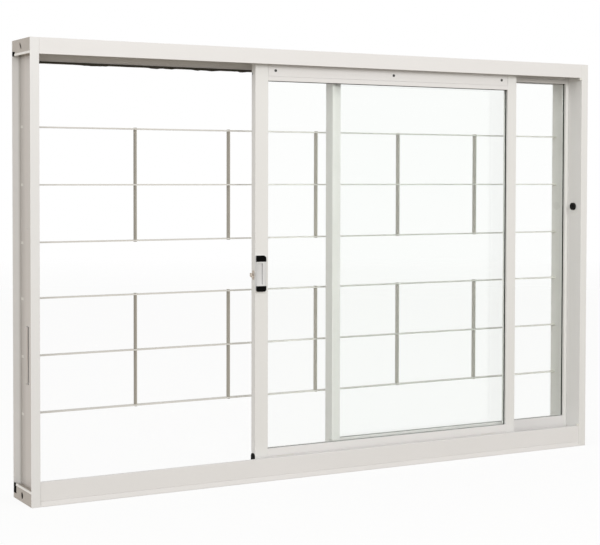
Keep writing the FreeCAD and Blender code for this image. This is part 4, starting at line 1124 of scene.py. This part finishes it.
@dataclass
class RunningGear:
    """Wheels, guides, weather strips and blocks."""

    backing: float = 1.0 * MM
    tuft_pitch: float = 2.2 * MM
    tuft_reach: float = 0.9 * MM
    tuft_size: float = 2.0 * MM
    rows: int = 3

    def build(self) -> None:
        """Dresses what guides and carries the leaves, and adds the weather strips."""
        for node in ("roller_housings", "left_wheel", "right_wheel"):
            dress(node, Finishes.white_nylon)
        for node in ("top_guides", "setting_blocks", "sill_guide"):
            dress(node, Finishes.black_nylon)
        dress("roller_axles", Finishes.zinc)
        CrossScrew().fill("top_guide_screws", Body.LEAF, Finishes.phosphated)
        self.weather_strips()

    def weather_strips(self) -> None:
        """Adds woven strips: a flat backing with uneven rows of pile on it."""
        low, high = node_box("pile_seals")
        middle = (low.y + high.y) / 2
        pieces = []
        for solid in solids_of("pile_seals"):
            side = 1 if (solid.low.y + solid.high.y) / 2 < middle else -1
            pieces += self.strip(solid, side)
        strips = merge("pile_weather_strips", pieces)
        place(strips, Body.LEAF, "grey_pile", Finishes.pile, "pile_seals")

    def strip(self, solid: Solid, side: int) -> list[Piece]:
        """Makes one run of weather strip.

        Args:
            solid: The plain bar whose place it takes.
            side: Which way the pile points along Y.

        Returns:
            Its backing and its rows of pile.
        """
        low, high = solid.low, solid.high
        foot, tip = (low.y, high.y) if side > 0 else (high.y, low.y)
        seat = foot + side * self.backing
        pieces = [start_block("backing", Vector((low.x, min(foot, seat), low.z)),
                              Vector((high.x, max(foot, seat), high.z)))]
        step = (high.z - low.z) / self.rows
        steps = round((high.x - low.x) / self.tuft_pitch)
        for row in range(self.rows):
            z = low.z + row * step
            pile = start_block("pile", Vector((low.x, min(seat, tip), z)),
                               Vector((high.x, max(seat, tip), z + step)))
            fray(pile, steps, lambda at, normal: abs(at.y - tip) < WELD, "Y",
                 -side * self.tuft_reach, self.tuft_size)
            pieces.append(pile)
        return pieces


@dataclass
class Latch:
    """Thumb latch on the sliding leaf."""

    plate: float = 2.7 * MM
    scoop_share: float = 0.60
    groove_share: float = 0.67
    groove_depth: float = 0.9 * MM
    scoop_depth: float = 1.3 * MM
    margin_low: float = 3.4 * MM
    margin_high: float = 3.8 * MM
    side_margin: float = 0.4 * MM
    pin_radius: float = 2.5 * MM
    pin_sides: int = 24
    cap_corners: tuple[float, float] = (5.2 * MM, 8.0 * MM)
    cap_rim: float = 1.4 * MM
    cap_margin: float = 1.0 * MM
    cap_edge: float = 0.7 * MM
    cap_recess: float = 0.5 * MM
    grip_edge: float = 0.25 * MM
    pin_edge: float = 0.3 * MM

    def build(self) -> None:
        """Dresses the base and the hook, and adds the slider, the caps and the screws."""
        dress("latch_base", Finishes.acetal)
        dress("latch_hook", Finishes.cast_zinc)
        CrossScrew().fill("latch_screws", Body.LEAF, Finishes.zinc)
        self.slider()
        self.caps()

    def slider(self) -> None:
        """Adds a grip with a thumb scoop and a groove, and a pin that carries the hook."""
        low, high = node_box("latch_slider")
        caps = sorted(solids_of("latch_end_caps"), key=lambda solid: solid.low.z)
        bottom = caps[0].high.z + self.margin_low
        top = caps[1].low.z - self.margin_high
        width = high.x - low.x
        lanes = [low.x + self.side_margin, low.x + self.scoop_share * width,
                 low.x + self.groove_share * width]
        grip = start_block("thumb_slider", low, Vector((high.x, low.y + self.plate, high.z)))
        for x in lanes:
            score(grip, (x, 0, 0), (1, 0, 0))
        for z in (bottom, top):
            score(grip, (0, 0, z), (0, 0, 1))
        room = facing(Side.ROOM)
        depth = 0.0
        for start, end, step in ((lanes[0], lanes[1], self.scoop_depth),
                                 (lanes[1], lanes[2], self.groove_depth)):
            depth += step
            sink(grip, lambda at, normal: room(at, normal) and start < at.x < end
                 and bottom < at.z < top, 0.0, (0, depth, 0))
        soften(grip, self.grip_edge, segments=2)
        hook = sum(node_box("latch_hook"), Vector((0, 0, 0))) / 2
        foot, tip = low.y + self.plate, high.y
        pin = start_disc("pin", Vector((hook.x + self.pin_radius, (foot + tip) / 2, hook.z)),
                         self.pin_radius, tip - foot, Y, self.pin_sides)
        soften(pin, self.pin_edge, segments=2)
        place(merge("thumb_slider", [grip, pin]), Body.LATCH, "grey_plastic",
              Finishes.scooped_acetal, "latch_slider")

    def caps(self) -> None:
        """Adds two end caps: the lower one rounded at both corners, the upper one at one."""
        pieces = []
        solids = sorted(solids_of("latch_end_caps"), key=lambda solid: solid.low.z)
        for solid, outer, both in ((solids[0], solids[0].low.z, True),
                                   (solids[1], solids[1].high.z, False)):
            low, high = solid.low, solid.high
            middle = (low.x + high.x) / 2
            cap = start_block("cap", low, high)
            round_off(cap, lambda at, run: abs(run.y) > ALONG and abs(at.z - outer) < WELD
                      and (both or at.x > middle), self.cap_corners[not both])
            sink(cap, facing(Side.ROOM), self.cap_rim, (0, 0, 0))
            push(cap, lambda at, normal: at.y < low.y + WELD
                 and low.x + self.cap_margin < at.x < high.x - self.cap_margin
                 and low.z + self.cap_margin < at.z < high.z - self.cap_margin,
                 (0, self.cap_recess, 0))
            soften(cap, self.cap_edge, segments=4)
            pieces.append(cap)
        caps = merge("latch_caps", pieces)
        place(caps, Body.LEAF, "black_nylon", Finishes.black_nylon, "latch_end_caps")


# ------------------------------------------------------------------- studio
@dataclass(frozen=True)
class Softbox:
    """A square soft lamp and the point that it faces."""

    name: str
    at: Offset
    width: float
    power: float
    aim: Offset = (0.0, 0.0, 0.5)

    def build(self) -> None:
        """Stands the lamp in its place."""
        lamp = bpy.data.lights.new(self.name, "AREA")
        lamp.size = self.width
        lamp.energy = self.power
        holder = bpy.data.objects.new(self.name, lamp)
        holder.location = self.at
        way = Vector(self.aim) - Vector(self.at)
        holder.rotation_euler = way.to_track_quat("-Z", "Y").to_euler()
        bpy.context.scene.collection.objects.link(holder)


@dataclass
class Studio:
    """Pale floor, white surroundings, soft lamps and the camera."""

    white: str = "#FFFFFF"
    fill: float = 0.62
    fill_colour: str = "#FFFEFB"
    floor_radius: float = 9.0
    floor_sides: int = 96
    floor_fade: float = 5.0
    floor_drop: float = 0.5 * MM
    floor_white: float = 0.9
    floor_colour: str = "#FFFFFD"
    floor_bounce: str = "#A39A8C"       # what the floor throws back at the window
    lamps: tuple[Softbox, ...] = (
        Softbox("key_softbox", (0.3, -3.0, 1.9), 1.2, 27.0, (0.2, 0.0, 0.5)),
        Softbox("side_softbox", (-15.0, -3.0, 3.0), 6.0, 505.0),
        Softbox("front_softbox", (-6.0, -12.0, 3.0), 6.0, 470.0))
    eye: Offset = (-1.7382, -3.1043, 0.7129)
    yaw: float = 0.5275
    pitch: float = 0.0311
    roll: float = 0.0032
    lens: float = 88.79
    shift: tuple[float, float] = (-0.0850, -0.0875)

    def build(self) -> None:
        """Sets up the view, the world, the floor, the lamps and the camera."""
        bpy.context.scene.view_settings.view_transform = "Standard"
        self.surroundings()
        self.floor()
        for lamp in self.lamps:
            lamp.build()
        self.camera()

    def seen(self, tree: Tree) -> Socket:
        """Finds what the eye sees straight, in a mirror or through glass.

        Args:
            tree: The nodes of the world or of a material.

        Returns:
            A socket that is one there, and zero on all other rays.
        """
        rays = add_node(tree, "ShaderNodeLightPath").outputs
        straight = rays["Is Camera Ray"]
        for other in ("Is Glossy Ray", "Is Transmission Ray"):
            straight = add_node(tree, "ShaderNodeMath", {"operation": "MAXIMUM"},
                                {0: straight, 1: rays[other]}).outputs[0]
        unscattered = add_node(tree, "ShaderNodeMath", {"operation": "LESS_THAN", 1: 0.5},
                               {0: rays["Diffuse Depth"]})
        return add_node(tree, "ShaderNodeMath", {"operation": "MULTIPLY"},
                        {0: straight, 1: unscattered.outputs[0]}).outputs[0]

    def surroundings(self) -> None:
        """Gives the world a plain white to look at, and an even fill light for the object."""
        world = bpy.data.worlds.new("plain_white_room")
        bpy.context.scene.world = world
        world.use_nodes = True
        tree = world.node_tree
        tree.nodes.clear()
        fill = add_node(tree, "ShaderNodeBackground",
                        {"Color": linear(self.fill_colour), "Strength": self.fill})
        white = add_node(tree, "ShaderNodeBackground", {"Color": linear(self.white)})
        mix = add_node(tree, "ShaderNodeMixShader", None,
                       {0: self.seen(tree), 1: fill.outputs[0], 2: white.outputs[0]})
        add_node(tree, "ShaderNodeOutputWorld", None, {"Surface": mix.outputs[0]})

    def floor(self) -> None:
        """Adds a pale round floor that keeps the shadow and fades into the white."""
        deselect()
        bpy.ops.mesh.primitive_circle_add(vertices=self.floor_sides, radius=self.floor_radius,
                                          fill_type="NGON", location=(0, 0, -self.floor_drop))
        floor = bpy.context.object
        floor.name = "floor"
        material = bpy.data.materials.new("pale_floor")
        material.use_nodes = True
        tree = material.node_tree
        tree.nodes.clear()
        tone = add_node(tree, "ShaderNodeMix",
                        {**MIX_COLOURS, COLOUR_A: linear(self.floor_bounce),
                         COLOUR_B: linear(self.floor_colour)}, {FACTOR: self.seen(tree)})
        matt = add_node(tree, "ShaderNodeBsdfDiffuse", None, {"Color": tone.outputs[MIXED]})
        glow = add_node(tree, "ShaderNodeEmission", {"Color": linear(self.white)})
        share = add_node(tree, "ShaderNodeMath", {"operation": "MULTIPLY", 1: self.floor_white},
                         {0: self.seen(tree)})
        surface = add_node(tree, "ShaderNodeMixShader", None,
                           {0: share.outputs[0], 1: matt.outputs[0], 2: glow.outputs[0]})
        where = add_node(tree, "ShaderNodeTexCoord").outputs["Object"]
        reach = add_node(tree, "ShaderNodeVectorMath", {"operation": "LENGTH"}, {0: where})
        fade = add_node(tree, "ShaderNodeMapRange",
                        {"From Min": self.floor_fade, "From Max": self.floor_radius},
                        {"Value": reach.outputs["Value"]})
        clear = add_node(tree, "ShaderNodeBsdfTransparent")
        faded = add_node(tree, "ShaderNodeMixShader", None,
                         {0: fade.outputs["Result"], 1: surface.outputs[0], 2: clear.outputs[0]})
        add_node(tree, "ShaderNodeOutputMaterial", None, {"Surface": faded.outputs[0]})
        floor.data.materials.append(material)

    def camera(self) -> None:
        """Stands the camera to the left of the window, a little above its middle."""
        data = bpy.data.cameras.new("camera")
        data.lens = self.lens
        data.shift_x, data.shift_y = self.shift
        eye = bpy.data.objects.new("camera", data)
        turn = (Matrix.Rotation(-self.yaw, 4, "Z")
                @ Matrix.Rotation(math.pi / 2 - self.pitch, 4, "X")
                @ Matrix.Rotation(self.roll, 4, "Z"))
        eye.matrix_world = Matrix.Translation(self.eye) @ turn
        bpy.context.scene.collection.objects.link(eye)
        bpy.context.scene.camera = eye


def main() -> None:
    """Builds the studio, then the window's sub-assemblies in order."""
    logging.basicConfig(level=logging.INFO, format="%(message)s")
    Studio().build()
    OuterFrame().build()
    Grille().build()
    GlazedLeaf("fixed", Body.FRAME, ("fixed_meeting_stile", "fixed_outer_stile"),
               0.5 * MM).build()
    GlazedLeaf("sliding", Body.LEAF, ("latch_stile", "sliding_meeting_stile"),
               1.0 * MM).build()
    RunningGear().build()
    Latch().build()


if __name__ == "__main__":
    main()
